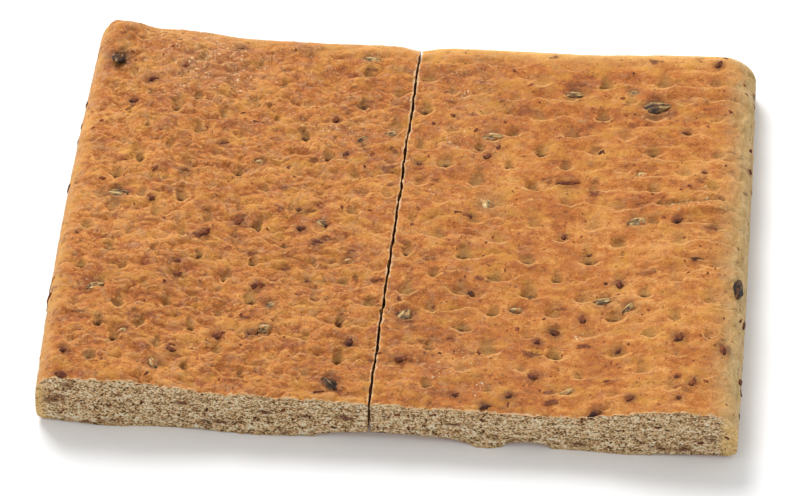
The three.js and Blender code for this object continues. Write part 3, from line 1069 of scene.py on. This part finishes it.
# %% How far the crust browned
STRAW = srgb(215, 152, 83)
GOLDEN = srgb(190, 117, 52)
ORANGE = srgb(171, 97, 41)
BROWN = srgb(126, 68, 31)
SIDEWAYS = (1.6, 1, 1)
LEFT_BAND = (-80.0, 110.0, 1.0, 0.0)
RIGHT_BAND = (60.0, 150.0)
BACK_BAND = (10.0, 130.0)
FRONT_BAND = (-110.0, -20.0, 1.0, 0.0)
BROAD_CLOUD = (24.0, 3.0)
PATCH_CLOUD = (6.5, 3.0, 0.6)
SMALL_CLOUD = (3.0, 2.0, 0.6)
GRAIN_CLOUD = (1.0, 2.0, 0.8)
GRAIN_MEAN = 0.5
BAKED_START = -1.43

crust, tree, shader = new_material("golden_crust")
here = millimetres(tree)
sideways = millimetres(tree, SIDEWAYS)
on_slab = place(tree, "SeparateXYZ", {"Vector": here})
left_share = between(tree, on_slab.outputs["X"], *LEFT_BAND)
right_share = between(tree, on_slab.outputs["X"], *RIGHT_BAND)
back_share = between(tree, on_slab.outputs["Y"], *BACK_BAND)
front_share = between(tree, on_slab.outputs["Y"], *FRONT_BAND)
beside_cut = times(tree, left_share, math_of(tree, "SUBTRACT", 1.0, left_share), front_share)
broad = mottle(tree, sideways, *BROAD_CLOUD)
patchy = mottle(tree, sideways, *PATCH_CLOUD)
small = mottle(tree, here, *SMALL_CLOUD)
grain = mottle(tree, here, *GRAIN_CLOUD)
left_grain = times(tree, math_of(tree, "SUBTRACT", grain, GRAIN_MEAN), left_share)
browning = [(broad, 1.05), (patchy, 1.1), (small, 0.8), (grain, 0.85), (left_grain, 0.35),
            (right_share, -0.07), (back_share, 0.1), (beside_cut, 0.3)]
baked = weighed(tree, browning, BAKED_START)
colour = ramp(tree, baked, [(0.1, STRAW), (0.4, GOLDEN), (0.62, ORANGE), (0.95, BROWN)])
print("browning is added up from", len(browning), "parts")

# %% [markdown]
# ## Crust, patches and forms
# Over the browning lie patches of red blush, yellow and dull tan. Then the forms are picked out by the
# mesh's layers: lips and ridges get pale painted highlights, creases get painted shade, the dimple floors
# are olive, dough that the heat reached last with painted shade laid on, the rim is straw-coloured with a
# painted highlight on the left and back, and the cream walls have fine sideways streaks.

# %% Patches and forms
BLUSH = srgb(150, 82, 56)
YELLOW = srgb(199, 141, 58)
DULL_TAN = srgb(184, 137, 96)
CREASE_SHADE = srgb(118, 70, 34)
LIP_HIGHLIGHT = srgb(232, 180, 116)
OLIVE_AND_SHADE = srgb(146, 109, 56)
RIM_STRAW_AND_HIGHLIGHT = srgb(231, 179, 101)
WALL_OLIVE = srgb(172, 142, 88)
CREAM = srgb(197, 165, 109)
WALL_LIGHT = srgb(213, 185, 134)
BLUSH_CLOUD = (8.0, 3.0, 0.65)
BLUSH_BAND = (0.5, 0.68, 0.0, 0.6)
BLUSH_BY_SIDE = (0.0, 1.0, 0.4, 1.0)
YELLOW_CLOUD = (10.0, 3.0, 0.6)
YELLOW_BAND = (0.48, 0.68, 0.0, 0.58)
DULL_CLOUD = (5.5, 3.0, 0.65)
DULL_BAND = (0.5, 0.7, 0.0, 0.6)
DULL_BY_SIDE = (0.0, 1.0, 0.5, 1.0)
RIDGE_BAND = (0.02, 0.2, 0.0, 0.65)
CREASE_BAND = (-0.01, -0.2, 0.0, 0.5)
LIP_BAND = (0.38, 0.64, 0.05, 0.6)
LIP_BY_SIDE = (0.2, 0.9, 1.0, 0.5)
HOLLOW_SHARE = 0.75
RIM_BAND = (0.35, 0.6, 0.6, 1.0)
WALL_STREAKS = (6, 6, 1.2)
WALL_CLOUD = (2.2, 3.0, 0.7)
WALL_BAND = (-0.1, 1.05)
WALL_START = (0.0, 0.3)
WALL_SHARE = 0.95

blush_by_side = between(tree, left_share, *BLUSH_BY_SIDE)
blush = times(tree, patches(tree, sideways, BLUSH_CLOUD, BLUSH_BAND), blush_by_side)
yellowed = patches(tree, sideways, YELLOW_CLOUD, YELLOW_BAND)
dulled = times(tree, patches(tree, here, DULL_CLOUD, DULL_BAND), between(tree, left_share, *DULL_BY_SIDE))
# Ridges get a painted highlight in straw and creases get painted shade, read from how far a point stands
# out.
ridge = layer(tree, "ridge")
# Lips get a painted highlight: the pale lip coat stands in for light caught on their edges.
lip_by_side = between(tree, left_share, *LIP_BY_SIDE)
lip = times(tree, layer(tree, "lip"), between(tree, small, *LIP_BAND), lip_by_side)
# Dimple floors: olive of dough that the heat reached last, made darker by painted shade.
hollow = times(tree, layer(tree, "hollow"), HOLLOW_SHARE)
# The rim: straw of the less baked edge, with a painted highlight on the light-facing left and back.
rim = times(tree, layer(tree, "rim"), between(tree, small, *RIM_BAND))
streaks = mottle(tree, millimetres(tree, WALL_STREAKS), *WALL_CLOUD)
wall_colour = ramp(tree, streaks, [(0.3, WALL_OLIVE), (0.5, CREAM), (0.7, WALL_LIGHT)])
wall = layer(tree, "wall")
uneven = weighed(tree, [(wall, 1.0), (patchy, 0.6), (broad, 0.6)], -0.6)
wall = times(tree, between(tree, uneven, *WALL_BAND), between(tree, wall, *WALL_START), WALL_SHARE)
colour = coated(tree, colour, [
    (blush, BLUSH), (yellowed, YELLOW), (dulled, DULL_TAN),
    (between(tree, ridge, *RIDGE_BAND), STRAW), (between(tree, ridge, *CREASE_BAND), CREASE_SHADE),
    (lip, LIP_HIGHLIGHT), (hollow, OLIVE_AND_SHADE), (rim, RIM_STRAW_AND_HIGHLIGHT), (wall, wall_colour),
])
print("crust has", len(tree.nodes), "nodes so far")

# %% [markdown]
# ## Crust, flecks and shine
# Last come bran flecks, stains with painted shade round the dark seeds and in the peg holes, the pale torn
# edge along the cuts, and painted highlights for the shine of oil: fine pale glints, most on the left half,
# and a frosty glitter where the glaze and glint layer says so. The real gloss comes from the shader's
# roughness, and a fine bump gives the skin its pores.

# %% Flecks, stains with painted shade, and painted glints
RED_BRAN = srgb(94, 44, 27)
STAIN_AND_SHADE = srgb(88, 46, 29)
SHINE = srgb(232, 194, 144)
TORN_EDGE = srgb(220, 182, 140)
FINE_FLECKS = (3.0, 0.9, 0.36)
FINE_SHARE = 0.5
LARGE_FLECKS = (9.0, 3.0, 0.34)
LARGE_TONES = (0.0, 1.0, 0.3, 0.8)
STAIN_AND_SHADE_BAND = (0.35, 0.6, 0.45, 0.9)
GLAZE_DULLS = 0.15
GLINTS = (1.8, 0.75, 0.6)
GLINT_BAND = (0.42, 0.6)
FROST_GLITTER_STRETCH = (0.8, 1.8, 1)
FROST_GLITTER_CLOUD = (1.1, 3.0, 0.75)
FROST_GLITTER_BAND = (0.5, 0.64, 0.0, 0.6)
FROST_GLITTER_PATCHES = (0.38, 0.58)
TORN_BAND = (0.55, 1.1, 0.0, 0.8)
ROUGH_CLOUD = (7.0,)
ROUGH_BAND = (0.3, 0.7, 0.46, 0.68)
GLAZE_GLOSS = (0.0, 1.0, 1.0, 0.75)
CRUST_SPECULAR = 0.18
PORE_CLOUD = (1.4, 3.0, 0.8)

fine_mask, _ = fleck_mask(tree, here, *FINE_FLECKS)
large_mask, large_tone = fleck_mask(tree, sideways, *LARGE_FLECKS)
glint_mask, _ = fleck_mask(tree, here, *GLINTS)
glaze_and_glints = layer(tree, "glaze_and_glints")
painted_glint_share = weighed(tree, [(glaze_and_glints, 1.0), (left_share, 0.3)], 0.02)
frost_glitter = patches(tree, millimetres(tree, FROST_GLITTER_STRETCH), FROST_GLITTER_CLOUD, FROST_GLITTER_BAND)
torn = weighed(tree, [(layer(tree, "torn"), 1.0), (small, 2.4)], -1.2)
colour = coated(tree, colour, [
    (times(tree, fine_mask, FINE_SHARE), RED_BRAN),
    (times(tree, large_mask, between(tree, large_tone, *LARGE_TONES)), RED_BRAN),
    # stain round dark seeds with painted shade where they meet the crust, and painted shade in peg holes
    (times(tree, layer(tree, "stain_and_shade"), between(tree, patchy, *STAIN_AND_SHADE_BAND)), STAIN_AND_SHADE),
    (times(tree, glaze_and_glints, GLAZE_DULLS), DULL_TAN),
    # painted highlights: pale glints and frosty glitter stand in for light glancing off the oil
    (times(tree, painted_glint_share, between(tree, patchy, *GLINT_BAND), glint_mask), SHINE),
    (times(tree, frost_glitter, glaze_and_glints, between(tree, patchy, *FROST_GLITTER_PATCHES)), SHINE),
    (between(tree, torn, *TORN_BAND), TORN_EDGE),
])
fill(tree, shader.inputs["Base Color"], colour)
gloss = times(tree, patches(tree, here, ROUGH_CLOUD, ROUGH_BAND), between(tree, glaze_and_glints, *GLAZE_GLOSS))
fill(tree, shader.inputs["Roughness"], gloss)
shader.inputs["Specular IOR Level"].default_value = CRUST_SPECULAR
pores = mottle(tree, here, *PORE_CLOUD)
skin = weighed(tree, [(pores, 1.0), (fine_mask, -0.25), (large_mask, 0.3)], 0.0)
raised(tree, shader, skin, strength=1.0, distance=1.2)
print("crust has", len(tree.nodes), "nodes")

# %% [markdown]
# ## Crumb, the pores
# Where the knife went, the inside shows: a pale, slightly grey crumb full of small holes. The holes are
# Voronoi cells of two sizes, drawn out sideways as the dough was rolled, and torn by a fine fibrous noise.
# The same sum of values gives the colour, darkest in the holes as painted shade, and presses the bump in.

# %% Pores of the crumb
CRUMB_PALE = srgb(255, 252, 240)
CRUMB_MID = srgb(240, 210, 165)
CRUMB_TAN = srgb(186, 147, 104)
PORE_SHADE = srgb(58, 36, 24)
GREY_TINT = (0.97, 0.96, 0.86, 1)
WARM_TINT = (1.0, 0.87, 0.7, 1)
DRAWN_OUT = (1.4, 1.4, 1)
LONG_WAY = (2.4, 2.4, 1)
SWIRL_SCALE = 0.9
SWIRL_DETAIL = 2.0
WIDE_PORES = 0.5
FINE_PORES = 1.0
FIBRE_CLOUD = (0.95, 3.0, 0.85)
CLUMP_CLOUD = (2.6, 2.0, 0.6)
TINT_CLOUD = (2.2, 2.0)
CRUMB_ROUGHNESS = 0.85
CRUMB_SPECULAR = 0.2

crumb, tree, shader = new_material("open_crumb")
here = millimetres(tree)
drawn_out = millimetres(tree, DRAWN_OUT)
long_way = millimetres(tree, LONG_WAY)
swirl_noise = {"Vector": here, "Scale": SWIRL_SCALE, "Detail": SWIRL_DETAIL}
swirl = place(tree, "TexNoise", swirl_noise).outputs["Color"]
warped = place(tree, "VectorMath", {0: drawn_out, 1: swirl}, operation="ADD").outputs[0]
wide_cells = place(tree, "TexVoronoi", {"Vector": warped, "Scale": WIDE_PORES}, feature="SMOOTH_F1")
fine_cells = place(tree, "TexVoronoi", {"Vector": warped, "Scale": FINE_PORES})
fibre = mottle(tree, drawn_out, *FIBRE_CLOUD)
clumps = mottle(tree, long_way, *CLUMP_CLOUD)
pores = [(wide_cells.outputs["Distance"], 0.6), (fine_cells.outputs["Distance"], 0.9)]
walls = weighed(tree, pores + [(fibre, 3.2), (clumps, 1.1)], -2.4)
# The holes are painted dark: painted shade inside the pores.
colour = ramp(tree, walls, [(0.0, PORE_SHADE), (0.3, CRUMB_TAN), (0.6, CRUMB_MID), (0.95, CRUMB_PALE)])
tint = ramp(tree, mottle(tree, drawn_out, *TINT_CLOUD), [(0.4, GREY_TINT), (0.6, WARM_TINT)])
colour = coated(tree, colour, [(1.0, tint)], "MULTIPLY")
shader.inputs["Roughness"].default_value = CRUMB_ROUGHNESS
shader.inputs["Specular IOR Level"].default_value = CRUMB_SPECULAR
raised(tree, shader, walls, strength=0.9, distance=0.8)
print("crumb has", len(tree.nodes), "nodes so far")

# %% [markdown]
# ## Crumb, rind and smudges
# Below the skin, along the foot and at the ends the crumb turns into a darker, yellow rind. Bran flecks
# lie in it, and seeds that the knife went through left dark smudges on the front. The two walls inside the
# cut face each other across a narrow gap, so they are darkened and warmed as painted shade, and their rind
# is painted as a red-brown line, partly rind and partly the shade of the gap.

# %% Rind and smudges of the crumb
RIND = srgb(250, 206, 128)
CUT_RIND_AND_SHADE = srgb(165, 64, 24)
CUT_SHADE_TINT = (1.0, 0.8, 0.6, 1)
SMUDGE_TINT = (0.22, 0.11, 0.1, 1)
RIND_BAND = (0.25, 0.95, 0.0, 0.6)
CRUMB_FLECKS = (3.4, 1.2, 0.4)
CRUMB_TONES = (0.0, 1.0, 0.15, 0.8)
IN_CUT = (0.6, 0.85)
CUT_RIND_BAND = (0.05, 0.6, 0.0, 0.9)
SMUDGE_BAND = (0.2, 1.1)
SMUDGE_START = (0.08, 0.3)

rind = weighed(tree, [(layer(tree, "rind"), 1.0), (fibre, 1.0), (clumps, 1.0)], -1.0)
mask, tone = fleck_mask(tree, long_way, *CRUMB_FLECKS)
bran = times(tree, mask, between(tree, tone, *CRUMB_TONES))
colour = coated(tree, colour, [(between(tree, rind, *RIND_BAND), RIND), (bran, RED_BRAN)])
# Cut walls: painted shade, darker and warmer, and a red-brown rind line that is partly painted shade.
normal = place(tree, "NewGeometry").outputs["Normal"]
facing = place(tree, "SeparateXYZ", {"Vector": normal}).outputs["X"]
in_cut = between(tree, math_of(tree, "ABSOLUTE", facing), *IN_CUT)
colour = coated(tree, colour, [(in_cut, CUT_SHADE_TINT)], "MULTIPLY")
browned = times(tree, in_cut, between(tree, layer(tree, "rind"), *CUT_RIND_BAND))
colour = coated(tree, colour, [(browned, CUT_RIND_AND_SHADE)])
stain_and_shade = layer(tree, "stain_and_shade")
broken = weighed(tree, [(stain_and_shade, 1.5), (fibre, 7.0), (clumps, 3.5)], -5.6)
smudge = times(tree, between(tree, broken, *SMUDGE_BAND), between(tree, stain_and_shade, *SMUDGE_START))
colour = coated(tree, colour, [(smudge, SMUDGE_TINT)], "MULTIPLY")
fill(tree, shader.inputs["Base Color"], colour)
print("crumb has", len(tree.nodes), "nodes")

# %% [markdown]
# ## Underside
# The underside baked on the tray, so it is an even tan with brown clouds, bran and a dusting of flour. It
# is seldom seen, and a coarse sheet with a plain finish is enough. Then each half gets its three finishes
# in the order that its faces were numbered in.

# %% Underside finish
BASE_TAN = srgb(176, 130, 76)
BASE_BROWN = srgb(132, 84, 46)
FLOUR = srgb(206, 184, 148)
BASE_CLOUD = (22.0, 5.0)
BASE_FLECKS = (7.0, 1.4, 0.4)
BASE_FLECK_SHARE = 0.7
FLOUR_CLOUD = (5.0, 5.0)
FLOUR_BAND = (0.58, 0.75, 0.0, 0.6)
BASE_ROUGHNESS = 0.8
BASE_GRAIN = (3.0, 4.0)

underside, tree, shader = new_material("baked_underside")
here = millimetres(tree)
mask, _ = fleck_mask(tree, here, *BASE_FLECKS)
colour = ramp(tree, mottle(tree, here, *BASE_CLOUD), [(0.3, BASE_TAN), (0.7, BASE_BROWN)])
dusted = patches(tree, here, FLOUR_CLOUD, FLOUR_BAND)
colour = coated(tree, colour, [(times(tree, mask, BASE_FLECK_SHARE), RED_BRAN), (dusted, FLOUR)])
fill(tree, shader.inputs["Base Color"], colour)
shader.inputs["Roughness"].default_value = BASE_ROUGHNESS
raised(tree, shader, mottle(tree, here, *BASE_GRAIN), strength=0.5, distance=0.6)
for bread in (left_bread, right_bread):
    for material in (crust, crumb, underside):
        bread.data.materials.append(material)
print("underside has", len(tree.nodes), "nodes")

# %% [markdown]
# ## Seating the seeds
# Seeds sit partly sunk in the skin and lean with it. A ray is sent from outside onto the finished bread,
# which gives the place, and four more rays around it give the mean direction of the skin, so that one
# fine wrinkle doesn't tip a seed over.

# %% Where a seed rests
bread_bm = bmesh.new()
for bread in (left_bread, right_bread):
    bread_bm.from_mesh(bread.data)
bread_tree = BVHTree.FromBMesh(bread_bm)
bread_bm.free()

AWAY = 40.0
FROM_ABOVE = Vector((0, 0, -1))


def rest_place(point, direction, reach):
    """Place of the skin seen from outside, in millimetres, and its mean direction nearby."""
    start = point - direction * AWAY
    first = direction.orthogonal().normalized()
    second = direction.cross(first)
    spot, _, _, _ = bread_tree.ray_cast(start * MM, direction)
    if spot is None:
        return None, None
    total = Vector()
    for step in (first, -first, second, -second):
        hit, normal, _, _ = bread_tree.ray_cast((start + step * reach) * MM, direction)
        if hit is not None:
            total += normal
    return spot / MM, total.normalized() if total.length > 0 else -direction


def seed_stand(spot, normal, turn, sunk):
    """Stands a seed's own axes on the skin."""
    upright = Vector((0, 0, 1)).rotation_difference(normal).to_matrix().to_4x4()
    lowered = Matrix.Translation((spot - normal * sunk) * MM) @ Matrix.Scale(MM, 4)
    return lowered @ upright @ Matrix.Rotation(math.radians(turn), 4, "Z")


print("the skin at the middle is", round(rest_place(Vector((30, 0, 30)), FROM_ABOVE, 2)[0].z, 1), "mm high")

# %% [markdown]
# ## Shapes of the seeds
# Every kind starts as a ball of triangles, pressed flat, drawn to a point at one end and wrinkled by
# noise. Large seeds get a finer ball, and the many small flakes only twenty faces each. All seeds of one
# kind are one mesh, and each seed carries its own tone from dark to pale.

# %% One seed
SeedKind = namedtuple("SeedKind", "fineness thickness proud point wrinkle")
PUMPKIN = SeedKind(4, 0.36, 0.62, 0.45, 0.1)
KERNEL = SeedKind(3, 0.6, 0.6, 0.55, 0.12)
GRAIN = SeedKind(2, 0.6, 0.24, 0.3, 0.25)
FLAKE = SeedKind(1, 0.5, 0.2, 0.2, 0.25)
SEED_LAYERS = ("tone", "along", "across")
NOISE_RANGE = 50
WRINKLES = 5
POINT_AT = (-0.15, 0.5)
TIP_THICKNESS = 0.6
REST_REACH = 0.4


def add_seed(bm, kind, stand, seed):
    """Adds one seed to a mesh of its kind."""
    tone_layer, along_layer, across_layer = [bm.verts.layers.float[name] for name in SEED_LAYERS]
    ball = bmesh.ops.create_icosphere(bm, subdivisions=kind.fineness, radius=0.5)
    offset = Vector([draw.uniform(0, NOISE_RANGE) for _ in range(3)])
    for vert in ball["verts"]:
        swell = 1 + kind.wrinkle * noise.noise(vert.co * WRINKLES + offset) * 2
        slim = 1 - kind.point * smoothstep(*POINT_AT, vert.co.x)
        x, y, z = vert.co * swell
        thick = seed.width * kind.thickness * at_least(TIP_THICKNESS, slim)
        vert.co = (x * seed.length, y * seed.width * slim, z * thick)
        vert[tone_layer] = seed.tone
        vert[along_layer] = 2 * x
        vert[across_layer] = 2 * y
    bmesh.ops.transform(bm, matrix=stand, verts=ball["verts"])


def seat_seed(bm, kind, seed, point, direction):
    """Seats one seed where a ray from outside meets the bread."""
    spot, normal = rest_place(point, direction, REST_REACH * seed.width)
    if spot is not None:
        sunk = seed.width * kind.thickness * (0.5 - kind.proud)
        add_seed(bm, kind, seed_stand(spot, normal, seed.turn, sunk), seed)


def new_seed_mesh():
    bm = bmesh.new()
    for name in SEED_LAYERS:
        bm.verts.layers.float.new(name)
    return bm


def finish_seeds(bm, name, material):
    """Makes a piece of a mesh of seeds."""
    for face in bm.faces:
        face.smooth = True
    piece = show(name, mesh_of(bm, name))
    piece.data.materials.append(material)
    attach(piece, "root")
    print(name, "has", len(piece.data.polygons), "faces")


print("kinds of seed differ in", SeedKind._fields)

# %% [markdown]
# ## Skins of the seeds
# One recipe dresses all seeds: a seed's own tone picks a place on a ramp of colours, stripes run along it,
# its edge is darker or paler, and a film of crust hides part of it. Five sets of values make five skins.

# %% Seed finish
STRIPES = 2.4
STRIPE_CLOUD = (1.0, 2.0)
SPECK_CLOUD = (1.2, 3.0, 0.7)
EDGE_BAND = (0.5, 0.85, 0.0)
FILM_CLOUD = (2.6, 2.0)
FILM_BAND = (0.48, 0.64, 0.0)
SEED_SPECULAR = 0.15
HUSK = srgb(214, 194, 152)
SHADE = srgb(40, 27, 20)
HULL_STOPS = [(0.0, srgb(30, 22, 18)), (0.3, srgb(84, 60, 40)), (0.55, srgb(132, 104, 66)),
              (0.8, srgb(174, 142, 86)), (1.0, srgb(204, 180, 130))]
GRAIN_STOPS = [(0.0, srgb(40, 24, 19)), (0.3, srgb(80, 41, 29)), (0.6, srgb(102, 52, 32)),
               (1.0, srgb(124, 70, 42))]
WHITE_STOPS = [(0.0, srgb(190, 160, 112)), (1.0, srgb(224, 206, 172))]


def seed_material(name, stops, edge, edge_share, film_share, roughness):
    """A seed's skin: its tone picks the colour, with stripes, another edge and a film of crust."""
    material, tree, shader = new_material(name)
    here = millimetres(tree)
    tone = layer(tree, "tone")
    across = layer(tree, "across")
    lengthwise = {"X": layer(tree, "along"), "Y": times(tree, across, STRIPES), "Z": tone}
    stripes = mottle(tree, place(tree, "CombineXYZ", lengthwise).outputs[0], *STRIPE_CLOUD)
    specks = mottle(tree, here, *SPECK_CLOUD)
    colour = ramp(tree, weighed(tree, [(tone, 1.0), (stripes, 2.6), (specks, 1.2)], -1.9), stops)
    rim = between(tree, math_of(tree, "ABSOLUTE", across), *EDGE_BAND, edge_share)
    film = patches(tree, here, FILM_CLOUD, (*FILM_BAND, film_share))
    fill(tree, shader.inputs["Base Color"], coated(tree, colour, [(rim, edge), (film, ORANGE)]))
    shader.inputs["Roughness"].default_value = roughness
    shader.inputs["Specular IOR Level"].default_value = SEED_SPECULAR
    raised(tree, shader, specks, strength=0.8, distance=0.5)
    return material


pumpkin_skin = seed_material("pumpkin_skin", HULL_STOPS, SHADE, 0.8, 0.2, 0.6)
kernel_skin = seed_material("kernel_skin", HULL_STOPS, HUSK, 0.4, 0.7, 0.65)
grain_skin = seed_material("grain_skin", GRAIN_STOPS, SHADE, 0.3, 0.35, 0.75)
bran_skin = seed_material("bran_skin", GRAIN_STOPS, SHADE, 0.0, 0.4, 0.75)
crumb_skin = seed_material("dry_crumb", WHITE_STOPS, HUSK, 0.0, 0.5, 0.8)
print("a seed skin has", len(pumpkin_skin.node_tree.nodes), "nodes")

# %% [markdown]
# ## Large seeds
# Pumpkin seeds and sunflower kernels are dropped from above at their planned places. One long dark
# pumpkin seed lies on the right edge, so its ray comes slantwise from the right.

# %% Large seeds where the slab has them
HIGH = 30.0
FROM_RIGHT_ABOVE = Vector((-1, 0, -1)).normalized()
EDGE_SEED = Seed(END, -45, 19, 7.5, 80, 0.05)
EDGE_SEED_HEIGHT = 33


def seat_all(bm, kind, seeds, height, direction):
    """Seats planned seeds, each at its own place."""
    for seed in seeds:
        seat_seed(bm, kind, seed, Vector((seed.x, seed.y, height)), direction)


pumpkin_bm = new_seed_mesh()
seat_all(pumpkin_bm, PUMPKIN, PUMPKIN_SEEDS, HIGH, FROM_ABOVE)
seat_all(pumpkin_bm, PUMPKIN, [EDGE_SEED], EDGE_SEED_HEIGHT, FROM_RIGHT_ABOVE)
finish_seeds(pumpkin_bm, "pumpkin_seeds", pumpkin_skin)
kernels_bm = new_seed_mesh()
seat_all(kernels_bm, KERNEL, KERNELS, HIGH, FROM_ABOVE)
finish_seeds(kernels_bm, "sunflower_kernels", kernel_skin)

# %% [markdown]
# ## Scattered grains and bran
# Smaller grains and flakes of bran are all over the dough, so they show on the top, on the walls and on
# the cut front. The larger grains have their planned places, on top and along the two ends. For the small
# ones, points are drawn on each side of a box round the slab and dropped onto the bread.

# %% Sides to scatter on
MARGIN = 6.0
FRONT_MARGIN = 2.0
FROM_FRONT = Vector((0, 1, 0))
FROM_BACK = Vector((0, -1, 0))
FROM_LEFT = Vector((1, 0, 0))
FROM_RIGHT = Vector((-1, 0, 0))
NEAR_LEFT = -END + MARGIN
NEAR_RIGHT = END - MARGIN
NEAR_FRONT = FRONT + FRONT_MARGIN
NEAR_BACK = BACK - MARGIN
Side = namedtuple("Side", "direction low high")
TOP = Side(FROM_ABOVE, (NEAR_LEFT, NEAR_FRONT, HIGH), (NEAR_RIGHT, NEAR_BACK, HIGH))
CUT_FRONT = Side(FROM_FRONT, (NEAR_LEFT, FRONT, 7), (NEAR_RIGHT, FRONT, 25))
RIGHT_WALL = Side(FROM_RIGHT, (END, NEAR_FRONT, 3), (END, NEAR_BACK, 30))
LEFT_WALL = Side(FROM_LEFT, (-END, NEAR_FRONT, 3), (-END, NEAR_BACK, 28))
BACK_WALL = Side(FROM_BACK, (NEAR_LEFT, BACK, 3), (NEAR_RIGHT, BACK, 24))


def scatter(bm, kind, counts, lengths, slimness, tones):
    """Drops drawn seeds on the sides of the slab, so many on each."""
    for side, count in counts:
        for _ in range(count):
            length = draw.uniform(*lengths)
            width = length * draw.uniform(*slimness)
            seed = Seed(0, 0, length, width, draw.uniform(0, 360), draw.uniform(*tones))
            point = Vector([draw.uniform(low, high) for low, high in zip(side.low, side.high)])
            seat_seed(bm, kind, seed, point, side.direction)


print("scattering between", [round(v) for v in TOP.low], "and", [round(v) for v in TOP.high])

# %% Dark grains and bran
FROM_LEFT_ABOVE = Vector((1, 0, -1)).normalized()
EDGE_HEIGHT = 22.0
LEFT_EDGE_GRAINS = [Seed(-END, *row) for row in (
    (79, 7, 5, 80, 0.25), (60, 4.5, 3.5, 60, 0.4), (10, 8, 5, 70, 0.05), (-66, 13, 4, 10, 0.4),
    (-78, 12, 4.5, 15, 0.35),
)]
RIGHT_EDGE_GRAINS = [Seed(END, *row) for row in (
    (-66, 9, 4, 60, 0.2), (-108, 10, 5, 50, 0.15), (-116, 6, 4, 80, 0.1), (-132, 6, 4, 80, 0.05),
    (52, 5, 4, 30, 0.4), (70, 8, 3, 60, 0.4),
)]
TOP_GRAINS = [(TOP, 64)]
SIDE_GRAINS = [(CUT_FRONT, 22), (RIGHT_WALL, 10), (LEFT_WALL, 12), (BACK_WALL, 12)]
TOP_BRAN = [(TOP, 420)]
SIDE_BRAN = [(CUT_FRONT, 120), (RIGHT_WALL, 50), (LEFT_WALL, 50), (BACK_WALL, 50)]

grains_bm = new_seed_mesh()
seat_all(grains_bm, GRAIN, GRAINS, HIGH, FROM_ABOVE)
seat_all(grains_bm, GRAIN, LEFT_EDGE_GRAINS, EDGE_HEIGHT, FROM_LEFT_ABOVE)
seat_all(grains_bm, GRAIN, RIGHT_EDGE_GRAINS, EDGE_HEIGHT, FROM_RIGHT_ABOVE)
scatter(grains_bm, GRAIN, TOP_GRAINS, lengths=(2.8, 5.0), slimness=(0.5, 0.75), tones=(0.2, 1.0))
scatter(grains_bm, GRAIN, SIDE_GRAINS, lengths=(2.6, 4.6), slimness=(0.4, 0.65), tones=(0.1, 0.5))
finish_seeds(grains_bm, "dark_grains", grain_skin)

bran_bm = new_seed_mesh()
scatter(bran_bm, FLAKE, TOP_BRAN, lengths=(1.4, 3.4), slimness=(0.4, 0.8), tones=(0.5, 1.2))
scatter(bran_bm, FLAKE, SIDE_BRAN, lengths=(1.2, 2.8), slimness=(0.4, 0.8), tones=(0.1, 0.7))
finish_seeds(bran_bm, "bran_flakes", bran_skin)

# %% [markdown]
# ## Dry crumbs
# Cutting leaves a few pale crumbs on the crust, in little groups. Each group is drawn round its own middle,
# denser towards it.

# %% Dry crumbs
CrumbGroup = namedtuple("CrumbGroup", "x y spread")
CRUMB_GROUPS = [CrumbGroup(*row) for row in (
    (22, 98, 8), (38, -110, 9), (30, -120, 8), (51, -127, 8), (100, -88, 5), (28, 62, 9),
    (-100, 112, 12), (15, 20, 6), (150, 17, 8), (164, 19, 8),
)]
CRUMBS_EACH = 6
CRUMB_LENGTHS = (1.0, 2.7)
CRUMB_SLIMNESS = 0.8
CRUMB_PALENESS = (0.2, 1.0)

crumbs_bm = new_seed_mesh()
for group in CRUMB_GROUPS:
    for _ in range(CRUMBS_EACH):
        length = draw.uniform(*CRUMB_LENGTHS)
        point = Vector((draw.gauss(group.x, group.spread / 2), draw.gauss(group.y, group.spread / 2), HIGH))
        turn = draw.uniform(0, 360)
        bit = Seed(0, 0, length, CRUMB_SLIMNESS * length, turn, draw.uniform(*CRUMB_PALENESS))
        seat_seed(crumbs_bm, FLAKE, bit, point, FROM_ABOVE)
finish_seeds(crumbs_bm, "dry_crumbs", crumb_skin)
